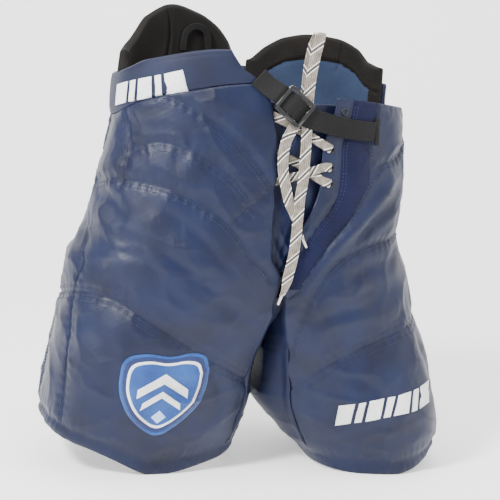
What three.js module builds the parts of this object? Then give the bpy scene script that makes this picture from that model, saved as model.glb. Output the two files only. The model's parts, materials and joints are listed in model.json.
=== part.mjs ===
// Ice hockey pants: padded shell with two leg tubes, laced and belted fly, waistband and two back lobes.
// Units are millimetres. +Z is up, the front faces -Y and the wearer's right side is -X.
import * as THREE from 'three';

// ---------------------------------------------------------------- driving sizes
// Body
const WAIST_HALF_WIDTH = 195;
const WAIST_FRONT_DEPTH = 112;
const WAIST_BACK_DEPTH = 108;
const HIP_FRONT_DEPTH = 124;
const HIP_BACK_DEPTH = 121;
const RIGHT_HIP_HALF_WIDTH = 222;
const LEFT_HIP_HALF_WIDTH = 194;
const BODY_SQUARENESS = 2.4;
const CENTRE_X = 4;
const CENTRE_GAP = 1.5;
// Legs
const RIGHT_HEM_OUTER = 265;
const RIGHT_HEM_INNER = 14;
const RIGHT_HEM_FRONT = 77;
const RIGHT_HEM_BACK = 88;
const RIGHT_HEM_OUTER_RISE = 57;
const RIGHT_HEM_INNER_RISE = 25;
const LEFT_HEM_OUTER = 271;
const LEFT_HEM_INNER = 92;
const LEFT_HEM_FRONT = 118;
const LEFT_HEM_BACK = 98;
const LEFT_HEM_OUTER_RISE = 38;
const LEFT_HEM_INNER_RISE = 8;
const LEFT_LEG_YAW = -15;
const HEM_BAND_HEIGHT = 16;
const HEM_FLAT = 1.5;
// Leg swing
const PIVOT_Z = 300;
const PIVOT_Y = (HIP_BACK_DEPTH - HIP_FRONT_DEPTH) / 2;
const SWING_RADIUS = (HIP_BACK_DEPTH + HIP_FRONT_DEPTH) / 2 + 4.5;
const SWING_GAP = 0.8;
const LINER_SWING_GAP = 2.6;
const PAD_SWING_GAP = 3;
// Layers, measured inwards from the outer face
const SHELL = 3;
const LAYER_GAP = 0.5;
const GUARD = 2.5;
const PAD = 12;
const LINER = 2;
const BAND_THICKNESS = 6.5;
const LOBE_PAD = 11;
// Waistband and lobes
const BAND_HEIGHT_FRONT = 39;
const BAND_HEIGHT_HIP = 52;
const BAND_HEIGHT_BACK = 50;
const WAIST_SEAM_RIGHT_FLY = 499;
const WAIST_SEAM_RIGHT_HIP = 447;
const WAIST_SEAM_LEFT_FLY = 487;
const WAIST_SEAM_LEFT_HIP = 470;
const WAIST_SEAM_BACK = 465;
const LEFT_BAND_HEIGHT_HIP = 34;
const RIGHT_LOBE_PEAK = 590;
const LEFT_LOBE_PEAK = 563;
const LOBE_DIP = 524;
const LOBE_BASE_DROP = 11;
const LINING_RIM = 33;
// Fly, lacing and belt
const EYELET_OUTER = 5.5;
const EYELET_HOLE = 3;
const EYELET_HEIGHT = 1.5;
const LACE_WIDTH = 14;
const LACE_THICKNESS = 1.6;
const TIP_LENGTH = 12;
const TIP_WIDTH = 3.6;
const WEBBING_WIDTH = 25;
const WEBBING_THICKNESS = 1.8;
const BUCKLE_LENGTH = 42;
const BUCKLE_WIDTH = 37;
const BUCKLE_RIM = 4.5;
const BUCKLE_THICKNESS = 5;
const BUCKLE_TILT = 38;
const SEAT = 0.3;
// Trim
const CREST_WIDTH = 116;
const CREST_HEIGHT = 108;
const TRIM_THICKNESS = 1.5;
const TRIM_LIFT = 1.0;

// ---------------------------------------------------------------- materials
const finish = (hex, roughness, metalness = 0) =>
  new THREE.MeshStandardMaterial({ color: hex, roughness, metalness });
const navyNylon = finish(0x2b3a66, 0.45);
const navyStretch = finish(0x36407a, 0.8);
const blueLining = finish(0x4a66a0, 0.9);
const blackFoam = finish(0x2b2826, 0.85);
const whiteFoam = finish(0xd8d6d0, 0.95);
const guardPlastic = finish(0xe8e8e6, 0.4);
const blackPlastic = finish(0x141414, 0.35);
const blackWebbing = finish(0x242322, 0.8);
const laceCotton = finish(0xb9b0a0, 0.9);
const eyeletMetal = finish(0x17181c, 0.4, 0.6);
const whiteThread = finish(0xf0f0ee, 0.6);
const crestFelt = finish(0x2f63b5, 0.8);

// ---------------------------------------------------------------- small helpers
const clamp01 = (t) => Math.min(1, Math.max(0, t));
const smooth = (t) => clamp01(t) * clamp01(t) * (3 - 2 * clamp01(t));
const mix = (a, b, t) => a + (b - a) * t;

// Smooth interpolation in a table of rows [key, value], with level ends.
function curve(rows, key) {
  const last = rows.length - 1;
  if (key <= rows[0][0]) return rows[0][1];
  if (key >= rows[last][0]) return rows[last][1];
  let i = 0;
  while (key > rows[i + 1][0]) i += 1;
  const slope = (k) => {
    if (k <= 0 || k >= last) return 0;
    const a = (rows[k][1] - rows[k - 1][1]) / (rows[k][0] - rows[k - 1][0]);
    const b = (rows[k + 1][1] - rows[k][1]) / (rows[k + 1][0] - rows[k][0]);
    return a * b <= 0 ? 0 : (2 * a * b) / (a + b);
  };
  const h = rows[i + 1][0] - rows[i][0];
  const t = (key - rows[i][0]) / h;
  const t2 = t * t;
  const t3 = t2 * t;
  return (
    rows[i][1] * (2 * t3 - 3 * t2 + 1) +
    rows[i + 1][1] * (3 * t2 - 2 * t3) +
    slope(i) * h * (t3 - 2 * t2 + t) +
    slope(i + 1) * h * (t3 - t2)
  );
}

// ---------------------------------------------------------------- the two halves
// s is the distance from the middle, outwards. Each half lists its widths and depths by height.
const frontRows = (hem) => [
  [0, hem],
  [65, mix(hem, HIP_FRONT_DEPTH, 0.26)],
  [140, mix(hem, HIP_FRONT_DEPTH, 0.58)],
  [216, mix(hem, HIP_FRONT_DEPTH, 0.86)],
  [275, HIP_FRONT_DEPTH - 1],
  [304, HIP_FRONT_DEPTH],
  [355, HIP_FRONT_DEPTH - 2],
  [399, mix(WAIST_FRONT_DEPTH, HIP_FRONT_DEPTH, 0.6)],
  [443, mix(WAIST_FRONT_DEPTH, HIP_FRONT_DEPTH, 0.25)],
  [477, WAIST_FRONT_DEPTH],
  [540, WAIST_FRONT_DEPTH - 4],
  [600, WAIST_FRONT_DEPTH - 6],
];
const backRows = (hem) => [
  [0, hem],
  [65, mix(hem, HIP_BACK_DEPTH, 0.2)],
  [140, mix(hem, HIP_BACK_DEPTH, 0.5)],
  [216, mix(hem, HIP_BACK_DEPTH, 0.86)],
  [275, HIP_BACK_DEPTH],
  [304, HIP_BACK_DEPTH],
  [355, HIP_BACK_DEPTH - 3],
  [399, mix(WAIST_BACK_DEPTH, HIP_BACK_DEPTH, 0.5)],
  [443, mix(WAIST_BACK_DEPTH, HIP_BACK_DEPTH, 0.15)],
  [477, WAIST_BACK_DEPTH],
  [540, WAIST_BACK_DEPTH - 2],
  [600, WAIST_BACK_DEPTH - 4],
];

const right = {
  sign: -1,
  seam: -CENTRE_X + CENTRE_GAP,
  yaw: 0,
  outer: [
    [0, RIGHT_HEM_OUTER - 2],
    [65, RIGHT_HEM_OUTER],
    [103, mix(RIGHT_HIP_HALF_WIDTH, RIGHT_HEM_OUTER, 0.88)],
    [138, mix(RIGHT_HIP_HALF_WIDTH, RIGHT_HEM_OUTER, 0.76)],
    [178, mix(RIGHT_HIP_HALF_WIDTH, RIGHT_HEM_OUTER, 0.65)],
    [216, mix(RIGHT_HIP_HALF_WIDTH, RIGHT_HEM_OUTER, 0.56)],
    [245, mix(RIGHT_HIP_HALF_WIDTH, RIGHT_HEM_OUTER, 0.49)],
    [275, mix(RIGHT_HIP_HALF_WIDTH, RIGHT_HEM_OUTER, 0.37)],
    [287, mix(RIGHT_HIP_HALF_WIDTH, RIGHT_HEM_OUTER, 0.16)],
    [304, RIGHT_HIP_HALF_WIDTH - 1],
    [355, mix(WAIST_HALF_WIDTH, RIGHT_HIP_HALF_WIDTH, 0.55)],
    [399, mix(WAIST_HALF_WIDTH, RIGHT_HIP_HALF_WIDTH, 0.22)],
    [443, WAIST_HALF_WIDTH - 1],
    [477, WAIST_HALF_WIDTH],
    [540, WAIST_HALF_WIDTH - 3],
    [600, WAIST_HALF_WIDTH - 7],
  ],
  front: frontRows(RIGHT_HEM_FRONT),
  back: backRows(RIGHT_HEM_BACK),
  inner: [
    [0, RIGHT_HEM_INNER],
    [60, mix(-CENTRE_X + CENTRE_GAP, RIGHT_HEM_INNER, 0.45)],
    [108, -CENTRE_X + CENTRE_GAP],
  ],
  fly: [
    [262, -CENTRE_X + CENTRE_GAP],
    [290, 14],
    [416, 15],
    [473, 25],
    [504, 42],
    [518, 62],
    [563, 85],
  ],
  outerRise: RIGHT_HEM_OUTER_RISE,
  innerRise: RIGHT_HEM_INNER_RISE,
  seamTop: [
    [0, WAIST_SEAM_RIGHT_FLY],
    [0.27, mix(WAIST_SEAM_RIGHT_HIP, WAIST_SEAM_RIGHT_FLY, 0.62)],
    [0.5, WAIST_SEAM_RIGHT_HIP],
    [1, WAIST_SEAM_BACK],
  ],
};
const left = {
  sign: 1,
  seam: CENTRE_X + CENTRE_GAP,
  yaw: THREE.MathUtils.degToRad(LEFT_LEG_YAW),
  outer: [
    [0, LEFT_HEM_OUTER - 3],
    [42, LEFT_HEM_OUTER],
    [64, LEFT_HEM_OUTER - 3],
    [115, mix(LEFT_HIP_HALF_WIDTH, LEFT_HEM_OUTER, 0.77)],
    [160, mix(LEFT_HIP_HALF_WIDTH, LEFT_HEM_OUTER, 0.6)],
    [203, mix(LEFT_HIP_HALF_WIDTH, LEFT_HEM_OUTER, 0.42)],
    [265, mix(LEFT_HIP_HALF_WIDTH, LEFT_HEM_OUTER, 0.2)],
    [284, mix(LEFT_HIP_HALF_WIDTH, LEFT_HEM_OUTER, 0.1)],
    [303, LEFT_HIP_HALF_WIDTH],
    [362, LEFT_HIP_HALF_WIDTH + 1],
    [414, mix(WAIST_HALF_WIDTH, LEFT_HIP_HALF_WIDTH, 0.5)],
    [471, WAIST_HALF_WIDTH - 5],
    [540, WAIST_HALF_WIDTH - 5],
    [600, WAIST_HALF_WIDTH - 9],
  ],
  front: frontRows(LEFT_HEM_FRONT),
  back: backRows(LEFT_HEM_BACK),
  inner: [
    [0, LEFT_HEM_INNER],
    [40, mix(CENTRE_X + CENTRE_GAP, LEFT_HEM_INNER, 0.6)],
    [108, CENTRE_X + CENTRE_GAP],
  ],
  fly: [
    [255, CENTRE_X + CENTRE_GAP],
    [300, 10],
    [330, 24],
    [350, 35],
    [382, 44],
    [423, 45],
    [469, 60],
    [487, 62],
  ],
  outerRise: LEFT_HEM_OUTER_RISE,
  innerRise: LEFT_HEM_INNER_RISE,
  seamTop: [
    [0, WAIST_SEAM_LEFT_FLY],
    [0.3, mix(WAIST_SEAM_LEFT_HIP, WAIST_SEAM_LEFT_FLY, 0.45)],
    [0.5, WAIST_SEAM_LEFT_HIP],
    [1, WAIST_SEAM_BACK],
  ],
};

// Depth of the body ring, front or back, at a distance from the middle.
function ringDepth(half, s, z, face) {
  const wide = curve(half.outer, z);
  const deep = curve(face < 0 ? half.front : half.back, z);
  const k = 1 - Math.abs(s / wide) ** BODY_SQUARENESS;
  return deep * Math.max(0, k) ** (1 / BODY_SQUARENESS);
}

// The closed section of one half at a height, as a radius about its own middle.
function section(half, z) {
  const wide = curve(half.outer, z);
  const front = curve(half.front, z);
  const back = curve(half.back, z);
  const inner = curve(half.inner, z);
  const legShare = 1 - smooth((z - 110) / 180);
  const cx = (wide + inner) / 2;
  const cy = (back - front) / 2;
  const halfWide = (wide - inner) / 2;
  const halfDeep = (front + back) / 2;
  const squareness = mix(3.2, 2.7, smooth((120 - z) / 120));
  const yaw = half.yaw * smooth((240 - z) / 160);
  const radius = (angle) => {
    const c = Math.cos(angle);
    const s = Math.sin(angle);
    let near = 0;
    let far = 420;
    for (let i = 0; i < 34; i += 1) {
      const t = (near + far) / 2;
      const y = cy + t * s;
      const sum =
        Math.abs((cx + t * c) / wide) ** BODY_SQUARENESS +
        Math.abs(y / (y < 0 ? front : back)) ** BODY_SQUARENESS;
      if (sum > 1) far = t;
      else near = t;
    }
    const plane = c < 0 ? (cx - half.seam) / -c : Infinity;
    const body = Math.min(near, plane);
    const ca = Math.abs(Math.cos(angle - yaw) / halfWide) ** squareness;
    const sa = Math.abs(Math.sin(angle - yaw) / halfDeep) ** squareness;
    const leg = Math.min((ca + sa) ** (-1 / squareness), plane);
    return mix(body, leg, legShare);
  };
  const edge = Math.max(half.seam, z > half.fly[0][0] ? half.sign * flyX(half, z) : half.seam);
  const from = Math.atan2(-ringDepth(half, edge, z, -1) - cy, edge - cx);
  const to = Math.atan2(ringDepth(half, half.seam, z, 1) - cy, half.seam - cx);
  return { cx, cy, radius, from, to };
}

// Signed x of the fly edge. The right flap's edge lies past the middle, on the wearer's right.
function flyX(half, z) {
  return half.sign * curve(half.fly, z);
}

const arcs = new Map();
// Points evenly spaced by length: u runs 0 to 1 from the front edge round the outer side to the
// back seam, and 1 to 2 from there round the inner side of the leg to the front seam.
function arcTable(half, z, outerSide) {
  const key = `${half.sign}:${z.toFixed(2)}:${outerSide}`;
  if (arcs.has(key)) return arcs.get(key);
  const sec = section(half, z);
  const a = outerSide ? sec.from : sec.to;
  const b = outerSide ? sec.to : sec.from + 2 * Math.PI;
  const count = 96;
  const table = [];
  let length = 0;
  let px = 0;
  let py = 0;
  for (let i = 0; i <= count; i += 1) {
    const angle = mix(a, b, i / count);
    const r = sec.radius(angle);
    const x = sec.cx + r * Math.cos(angle);
    const y = sec.cy + r * Math.sin(angle);
    if (i > 0) length += Math.hypot(x - px, y - py);
    px = x;
    py = y;
    table.push([length, angle, r]);
  }
  const result = { sec, table, length };
  arcs.set(key, result);
  return result;
}

// A point of one half: u along the section, z up, inwards by the layer's depth.
function surfacePoint(half, u, z, inwards) {
  const outerSide = u <= 1;
  const t = outerSide ? u : u - 1;
  const { sec, table, length } = arcTable(half, z, outerSide);
  const want = clamp01(t) * length;
  let i = 1;
  while (i < table.length - 1 && table[i][0] < want) i += 1;
  const k = (want - table[i - 1][0]) / (table[i][0] - table[i - 1][0] || 1);
  const angle = mix(table[i - 1][1], table[i][1], k);
  const r = mix(table[i - 1][2], table[i][2], k) - inwards;
  return new THREE.Vector3(
    half.sign * (sec.cx + r * Math.cos(angle)),
    sec.cy + r * Math.sin(angle),
    z,
  );
}

// Height of the swing cut, an arc about the hip pivot line, for a layer of one half.
function cutHeight(half, u, inwards, radius) {
  let z = PIVOT_Z - radius * 0.6;
  for (let i = 0; i < 14; i += 1) {
    const y = surfacePoint(half, u, z, inwards).y - PIVOT_Y;
    const next = PIVOT_Z - Math.sqrt(Math.max(0, radius * radius - y * y));
    z = mix(z, next, 0.7);
  }
  return z;
}

// Hem height round a leg, raised on the outer side and a little on the inner side.
function hemHeight(half, u) {
  const p = surfacePoint(half, u, 30, 0);
  const { sec } = arcTable(half, 30, true);
  const c = Math.cos(Math.atan2(p.y - sec.cy, half.sign * p.x - sec.cx));
  const rise = c > 0 ? half.outerRise * c ** 1.53 : half.innerRise * c * c;
  return Math.max(0, rise - HEM_FLAT);
}

// ---------------------------------------------------------------- solids
function solid(name, positions, faces, material, parent) {
  const geometry = new THREE.BufferGeometry();
  let volume = 0;
  const a = new THREE.Vector3();
  for (const [i, j, k] of faces) {
    a.crossVectors(positions[j], positions[k]);
    volume += positions[i].dot(a);
  }
  const ordered = volume < 0 ? faces.map(([i, j, k]) => [i, k, j]) : faces;
  geometry.setAttribute(
    'position',
    new THREE.Float32BufferAttribute(positions.flatMap((p) => [p.x, p.y, p.z]), 3),
  );
  geometry.setIndex(ordered.flat());
  geometry.computeVertexNormals();
  const mesh = new THREE.Mesh(geometry, material);
  mesh.name = name;
  parent.add(mesh);
  return mesh;
}

// A closed solid between two faces of a grid: point(i, j, face), face 0 outside and 1 inside.
function slab(name, columns, rows, point, material, parent, closed = false) {
  const positions = [];
  for (let face = 0; face < 2; face += 1) {
    for (let j = 0; j < rows; j += 1) {
      for (let i = 0; i < columns; i += 1) positions.push(point(i, j, face));
    }
  }
  const at = (i, j, face) => face * rows * columns + j * columns + (i % columns);
  const faces = [];
  const quad = (p, q, r, s) => faces.push([p, q, r], [p, r, s]);
  const spans = closed ? columns : columns - 1;
  for (let j = 0; j < rows - 1; j += 1) {
    for (let i = 0; i < spans; i += 1) {
      quad(at(i, j, 0), at(i + 1, j, 0), at(i + 1, j + 1, 0), at(i, j + 1, 0));
      quad(at(i, j, 1), at(i, j + 1, 1), at(i + 1, j + 1, 1), at(i + 1, j, 1));
    }
  }
  for (let i = 0; i < spans; i += 1) {
    quad(at(i, 0, 1), at(i + 1, 0, 1), at(i + 1, 0, 0), at(i, 0, 0));
    quad(at(i, rows - 1, 0), at(i + 1, rows - 1, 0), at(i + 1, rows - 1, 1), at(i, rows - 1, 1));
  }
  if (!closed) {
    for (let j = 0; j < rows - 1; j += 1) {
      const e = columns - 1;
      quad(at(0, j, 0), at(0, j + 1, 0), at(0, j + 1, 1), at(0, j, 1));
      quad(at(e, j, 1), at(e, j + 1, 1), at(e, j + 1, 0), at(e, j, 0));
    }
  }
  return solid(name, positions, faces, material, parent);
}

// All layers share one set of lines round the section, so their facets stay parallel.
const STEPS = [0, 0.03, 0.06, 0.09, 0.12];
for (let i = 4; i <= 25; i += 1) STEPS.push(i * 0.04);
const INNER_STEPS = [1.04];
for (let i = 1; i <= 11; i += 1) INNER_STEPS.push(1 + i / 12);
INNER_STEPS.push(1.96);

// Rows between the ends are shared by all layers, as long as they stay below a layer's own top.
const LEAST_ROW = 6;
function rowHeight(u, depth, row, levels, bottom, top) {
  if (row === 0) return bottom(u, depth);
  const fromTop = levels.length - 1 - row;
  if (fromTop === 0) return top(u, depth);
  const shared = mix(bottom(u, 0), top(u, 0), levels[row]);
  return Math.min(shared, top(u, depth) - LEAST_ROW * fromTop);
}

// One layer between two heights given as functions of u; gap keeps its side edges off a neighbour.
function layer(name, half, uFrom, uTo, bottom, top, levels, outside, inside, material, parent, gap = 0) {
  const us = [uFrom + gap];
  for (const u of STEPS) if (u > uFrom + 0.012 && u < uTo - 0.012) us.push(u);
  us.push(uTo - gap);
  return slab(
    name,
    us.length,
    levels.length,
    (i, j, face) => {
      const depth = face === 0 ? outside : inside;
      const z = rowHeight(us[i], depth, j, levels, bottom, top);
      return surfacePoint(half, us[i], z, depth);
    },
    material,
    parent,
  );
}

// A plate on the front or back face, given by x and z ranges and depths below the outer face.
function facePlate(name, face, xs, zs, outside, inside, material, parent, sink = null) {
  return slab(
    name,
    xs.length,
    zs.length,
    (i, j, side) => {
      const x = xs[i];
      const z = zs[j];
      const half = x < CENTRE_X ? right : left;
      const depth = (side === 0 ? outside : inside) + (sink ? sink(i, xs.length) : 0);
      const y = face * (ringDepth(half, Math.abs(x), z, face) - depth);
      return new THREE.Vector3(x, y, z);
    },
    material,
    parent,
  );
}

const frontY = (x, z) => -ringDepth(x < CENTRE_X ? right : left, Math.abs(x), z, -1);
const range = (a, b, n) => Array.from({ length: n + 1 }, (_, i) => mix(a, b, i / n));

// A flat band swept along a route, its width kept along one direction.
function flatSweep(name, points, widthDir, width, thickness, sides, material, parent, taper = null) {
  const path = new THREE.CatmullRomCurve3(points, false, 'centripetal');
  const count = Math.max(6, Math.round(path.getLength() / (width * 0.62)));
  const positions = [];
  const ring = [];
  for (let k = 0; k < sides; k += 1) {
    const a = ((k + 0.5) / sides) * 2 * Math.PI;
    const c = Math.cos(a);
    const s = Math.sin(a);
    const square = sides === 4 ? Math.SQRT1_2 : 1;
    ring.push([(c / square) * 0.5, (s / square) * 0.5]);
  }
  for (let i = 0; i <= count; i += 1) {
    const t = i / count;
    const p = path.getPointAt(t);
    const tangent = path.getTangentAt(t);
    const w = widthDir.clone().addScaledVector(tangent, -widthDir.dot(tangent)).normalize();
    const n = new THREE.Vector3().crossVectors(tangent, w);
    const scale = taper ? taper(t) : 1;
    for (const [a, b] of ring) {
      positions.push(p.clone().addScaledVector(w, a * width * scale).addScaledVector(n, b * thickness));
    }
  }
  const faces = [];
  for (let i = 0; i < count; i += 1) {
    for (let k = 0; k < sides; k += 1) {
      const a = i * sides + k;
      const b = i * sides + ((k + 1) % sides);
      faces.push([a, b, b + sides], [a, b + sides, a + sides]);
    }
  }
  for (let k = 1; k < sides - 1; k += 1) {
    faces.push([0, k + 1, k]);
    faces.push([count * sides, count * sides + k, count * sides + k + 1]);
  }
  return solid(name, positions, faces, material, parent);
}

// ---------------------------------------------------------------- upper body
const pants = new THREE.Group();
const upper = new THREE.Group();
const rightLeg = new THREE.Group();
const leftLeg = new THREE.Group();
pants.add(upper, rightLeg, leftLeg);

const EVEN = [0, 0.2, 0.4, 0.6, 0.8, 1];
const seamGap = SEAT / 270;
const cutOf = (half) => (u, depth) => cutHeight(half, u, depth, SWING_RADIUS);
const seamTop = (half) => (u) => curve(half.seamTop, u);
// The right flap's free corner is cut away below the waistband.
const rightShellTop = (u) => Math.min(seamTop(right)(u) - SEAT, WAIST_SEAM_RIGHT_FLY - 11 + u * 95);
const leftShellTop = (u) => seamTop(left)(u) - SEAT;

layer('right_hip_shell', right, 0, 1, cutOf(right), rightShellTop, EVEN, 0, SHELL, navyNylon, upper);
const STRIP_U = 0.06;
const PANEL_U = 0.12;
layer('left_eyelet_strip', left, 0, STRIP_U, cutOf(left), leftShellTop, EVEN, 0, SHELL, navyNylon, upper, seamGap);
layer('left_stretch_panel', left, STRIP_U, PANEL_U, cutOf(left), leftShellTop, EVEN, 0, SHELL, navyStretch, upper, seamGap);
layer('left_hip_shell', left, PANEL_U, 1, cutOf(left), leftShellTop, EVEN, 0, SHELL, navyNylon, upper, seamGap);

// Saddle that closes the body between the two legs, just inside the swing cut.
const GUSSET_HALF_WIDTH = 12;
const saddleAngles = range(-60, 60, 14);
slab(
  'crotch_gusset',
  saddleAngles.length,
  3,
  (i, j, face) => {
    const a = THREE.MathUtils.degToRad(saddleAngles[i]);
    const r = SWING_RADIUS - 2 * SEAT - face * SHELL;
    const x = CENTRE_X + (j - 1) * GUSSET_HALF_WIDTH;
    return new THREE.Vector3(x, PIVOT_Y + r * Math.sin(a), PIVOT_Z - r * Math.cos(a));
  },
  navyNylon,
  upper,
);

// Waistband: the right half runs from the fly round to the back, the left half from the hip only.
const LEFT_BAND_FROM = 0.48;
const rightBandTop = (u) =>
  seamTop(right)(u) + curve([[0, BAND_HEIGHT_FRONT], [0.3, BAND_HEIGHT_HIP - 11], [0.5, BAND_HEIGHT_HIP], [1, BAND_HEIGHT_BACK]], u);
const leftBandTop = (u) =>
  seamTop(left)(u) + curve([[LEFT_BAND_FROM, LEFT_BAND_HEIGHT_HIP], [0.62, BAND_HEIGHT_BACK - 4], [1, BAND_HEIGHT_BACK]], u);
layer('right_waistband', right, 0, 1, seamTop(right), rightBandTop, [0, 0.5, 1], 0, BAND_THICKNESS, navyNylon, upper);
layer('left_waistband', left, LEFT_BAND_FROM, 1, seamTop(left), leftBandTop, [0, 0.5, 1], 0, BAND_THICKNESS, navyNylon, upper);

// Back pads behind the waistband. Each lobe above the band bends on its own body.
const LOBE_FROM = 0.48;
const HINGE_Z = WAIST_SEAM_BACK + BAND_HEIGHT_BACK + 2;
const lobeOut = BAND_THICKNESS + LAYER_GAP + SEAT;
const lobeIn = lobeOut + LOBE_PAD;
const rightLobeTop = (u) =>
  curve([
    [LOBE_FROM, RIGHT_LOBE_PEAK - 62],
    [0.555, RIGHT_LOBE_PEAK - 48],
    [0.625, RIGHT_LOBE_PEAK - 16],
    [0.74, RIGHT_LOBE_PEAK],
    [0.85, RIGHT_LOBE_PEAK - 9],
    [0.925, RIGHT_LOBE_PEAK - 24],
    [0.97, RIGHT_LOBE_PEAK - 42],
    [1, LOBE_DIP + 4],
  ], u);
const leftLobeTop = (u) =>
  curve([
    [LOBE_FROM, HINGE_Z + 8],
    [0.55, LEFT_LOBE_PEAK - 32],
    [0.6, LEFT_LOBE_PEAK - 15],
    [0.68, LEFT_LOBE_PEAK - 3],
    [0.78, LEFT_LOBE_PEAK],
    [0.87, LEFT_LOBE_PEAK - 6],
    [0.93, LEFT_LOBE_PEAK - 18],
    [1, LOBE_DIP],
  ], u);
const rightKidney = new THREE.Group();
const leftKidney = new THREE.Group();
upper.add(rightKidney, leftKidney);
const lobeFoot = () => HINGE_Z + SEAT;
const baseTop = () => HINGE_Z - SEAT;
const baseBottom = (half) => (u) => seamTop(half)(u) - LOBE_BASE_DROP;
const THREE_LEVELS = [0, 0.5, 1];
layer('right_back_pad', right, LOBE_FROM, 1, baseBottom(right), baseTop, THREE_LEVELS, lobeOut, lobeIn, blackFoam, upper);
layer('left_back_pad', left, LOBE_FROM, 1, baseBottom(left), baseTop, THREE_LEVELS, lobeOut, lobeIn, blackFoam, upper);
layer('right_lobe_pad', right, LOBE_FROM, 1, lobeFoot, rightLobeTop, THREE_LEVELS, lobeOut, lobeIn, blackFoam, rightKidney);
layer('left_lobe_pad', left, LOBE_FROM, 1, lobeFoot, leftLobeTop, THREE_LEVELS, lobeOut, lobeIn, blackFoam, leftKidney);
const liningOut = lobeIn + 0.9;
const liningIn = liningOut + LINER;
const leftLiningTop = (u) => Math.max(HINGE_Z - 40, leftLobeTop(u) - LINING_RIM);
layer('left_back_lining', left, 0.55, 0.97, baseBottom(left), (u) => Math.min(leftLiningTop(u), HINGE_Z - SEAT), THREE_LEVELS, liningOut, liningIn, blueLining, upper);

// Hip guards and their foam.
const guardOut = SHELL + LAYER_GAP;
const guardIn = guardOut + GUARD;
const padOut = guardIn + LAYER_GAP;
const padIn = padOut + PAD;
const linerOut = padIn + LAYER_GAP;
const linerIn = linerOut + LINER;
const hipLevel = (half, t) => (u) => mix(cutHeight(half, u, 0, SWING_RADIUS), seamTop(half)(u) - SEAT, t);
for (const [side, half] of [['right', right], ['left', left]]) {
  const low = hipLevel(half, 0.2);
  const high = hipLevel(half, 0.8);
  layer(`${side}_hip_guard`, half, 0.32, 0.72, low, high, [0, 1 / 3, 2 / 3, 1], guardOut, guardIn, guardPlastic, upper);
  layer(`${side}_hip_pad`, half, 0.28, 0.76, low, high, [0, 1 / 3, 2 / 3, 1], padOut, padIn, whiteFoam, upper);
  layer(`${side}_hip_liner`, half, 0.2, 0.92, cutOf(half), hipLevel(half, 0.8), [0, 0.25, 0.5, 0.75, 1], linerOut, linerIn, blackFoam, upper);
}
// Tail guard and pad over the spine.
const TAIL_HALF_WIDTH = 30;
const tailOut = SHELL + SEAT;
const tailColumns = range(CENTRE_X - TAIL_HALF_WIDTH, CENTRE_X + TAIL_HALF_WIDTH, 6);
facePlate('tail_guard', 1, tailColumns, range(330, 430, 5), tailOut, tailOut + GUARD, guardPlastic, upper);
facePlate('tail_pad', 1, tailColumns, range(330, 430, 5), tailOut + GUARD + LAYER_GAP, padIn, whiteFoam, upper);

// ---------------------------------------------------------------- fly, lacing and belt
const RIGHT_STRIP_DEPTH = 8;
const GUSSET_DEPTH = 10.7;
// The gusset's two side edges rise to meet the shell that they are sewn to.
const gussetEdge = (i, n) => (i === 0 || i === n - 1 ? SHELL + 1.3 - GUSSET_DEPTH : 0);
const gussetColumns = [-88, ...range(-74, 80, 11), 94];
facePlate('fly_gusset', -1, gussetColumns, range(268, 478, 8), GUSSET_DEPTH, GUSSET_DEPTH + 2, navyNylon, upper, gussetEdge);
facePlate('right_eyelet_strip', -1, range(-62, -30, 3), range(368, 496, 6), RIGHT_STRIP_DEPTH, RIGHT_STRIP_DEPTH + 2, navyNylon, upper);

const LEFT_EYELETS = [[74, 470.5], [56, 424], [57, 402], [57, 382]];
const RIGHT_EYELETS = [[-46, 482], [-44, 448], [-44, 414], [-44, 382]];
function eyelet(name, x, z, depth) {
  const profile = [
    [EYELET_HOLE, 0],
    [EYELET_OUTER, 0],
    [EYELET_OUTER - 0.5, EYELET_HEIGHT],
    [EYELET_HOLE + 0.3, EYELET_HEIGHT],
    [EYELET_HOLE, 0],
  ].map(([r, h]) => new THREE.Vector2(r, h));
  const mesh = new THREE.Mesh(new THREE.LatheGeometry(profile, 12), eyeletMetal);
  mesh.name = name;
  const y = frontY(x, z) + depth;
  const dx = (frontY(x + 6, z) - frontY(x - 6, z)) / 12;
  const dz = (frontY(x, z + 6) - frontY(x, z - 6)) / 12;
  const normal = new THREE.Vector3(dx, -1, dz).normalize();
  mesh.quaternion.setFromUnitVectors(new THREE.Vector3(0, 1, 0), normal);
  mesh.position.set(x, y, z).addScaledVector(normal, SEAT);
  upper.add(mesh);
}
LEFT_EYELETS.forEach(([x, z], i) => eyelet(`left_eyelet_${i + 1}`, x, z, 0));
RIGHT_EYELETS.forEach(([x, z], i) => eyelet(`right_eyelet_${i + 1}`, x, z, RIGHT_STRIP_DEPTH));

// Route point on the front: x, z and depth below the outer face (negative stands proud).
const onFront = ([x, z, depth]) => new THREE.Vector3(x, frontY(x, z) + depth, z);
const UPWARD = new THREE.Vector3(0, 0, 1);
const SIDEWARD = new THREE.Vector3(1, 0, 0);
const over = -SEAT - EYELET_HEIGHT - SEAT - LACE_THICKNESS / 2;
const near = SHELL + LACE_THICKNESS / 2 + 0.2;
const deep = near + LACE_THICKNESS + 0.3;
const crossings = [
  ['lace_cross_1', [[56, 424, over], [46, 429, over], [38, 433, over], [20, 443, 1], [2, 452, near], [-22, 462, near]]],
  ['lace_cross_2', [[57, 402, over], [47, 402, over], [38, 399, over], [20, 392, 0.6], [0, 386, near], [-24, 380, near]]],
  ['lace_cross_3', [[57, 382, over], [49, 384, over], [42, 387, over + 0.8], [34, 392, 1.8], [22, 401, deep], [0, 411, deep], [-24, 419, deep]]],
];
for (const [name, points] of crossings) {
  flatSweep(name, points.map(onFront), UPWARD, LACE_WIDTH * 0.72, LACE_THICKNESS, 8, laceCotton, upper);
}

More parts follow.
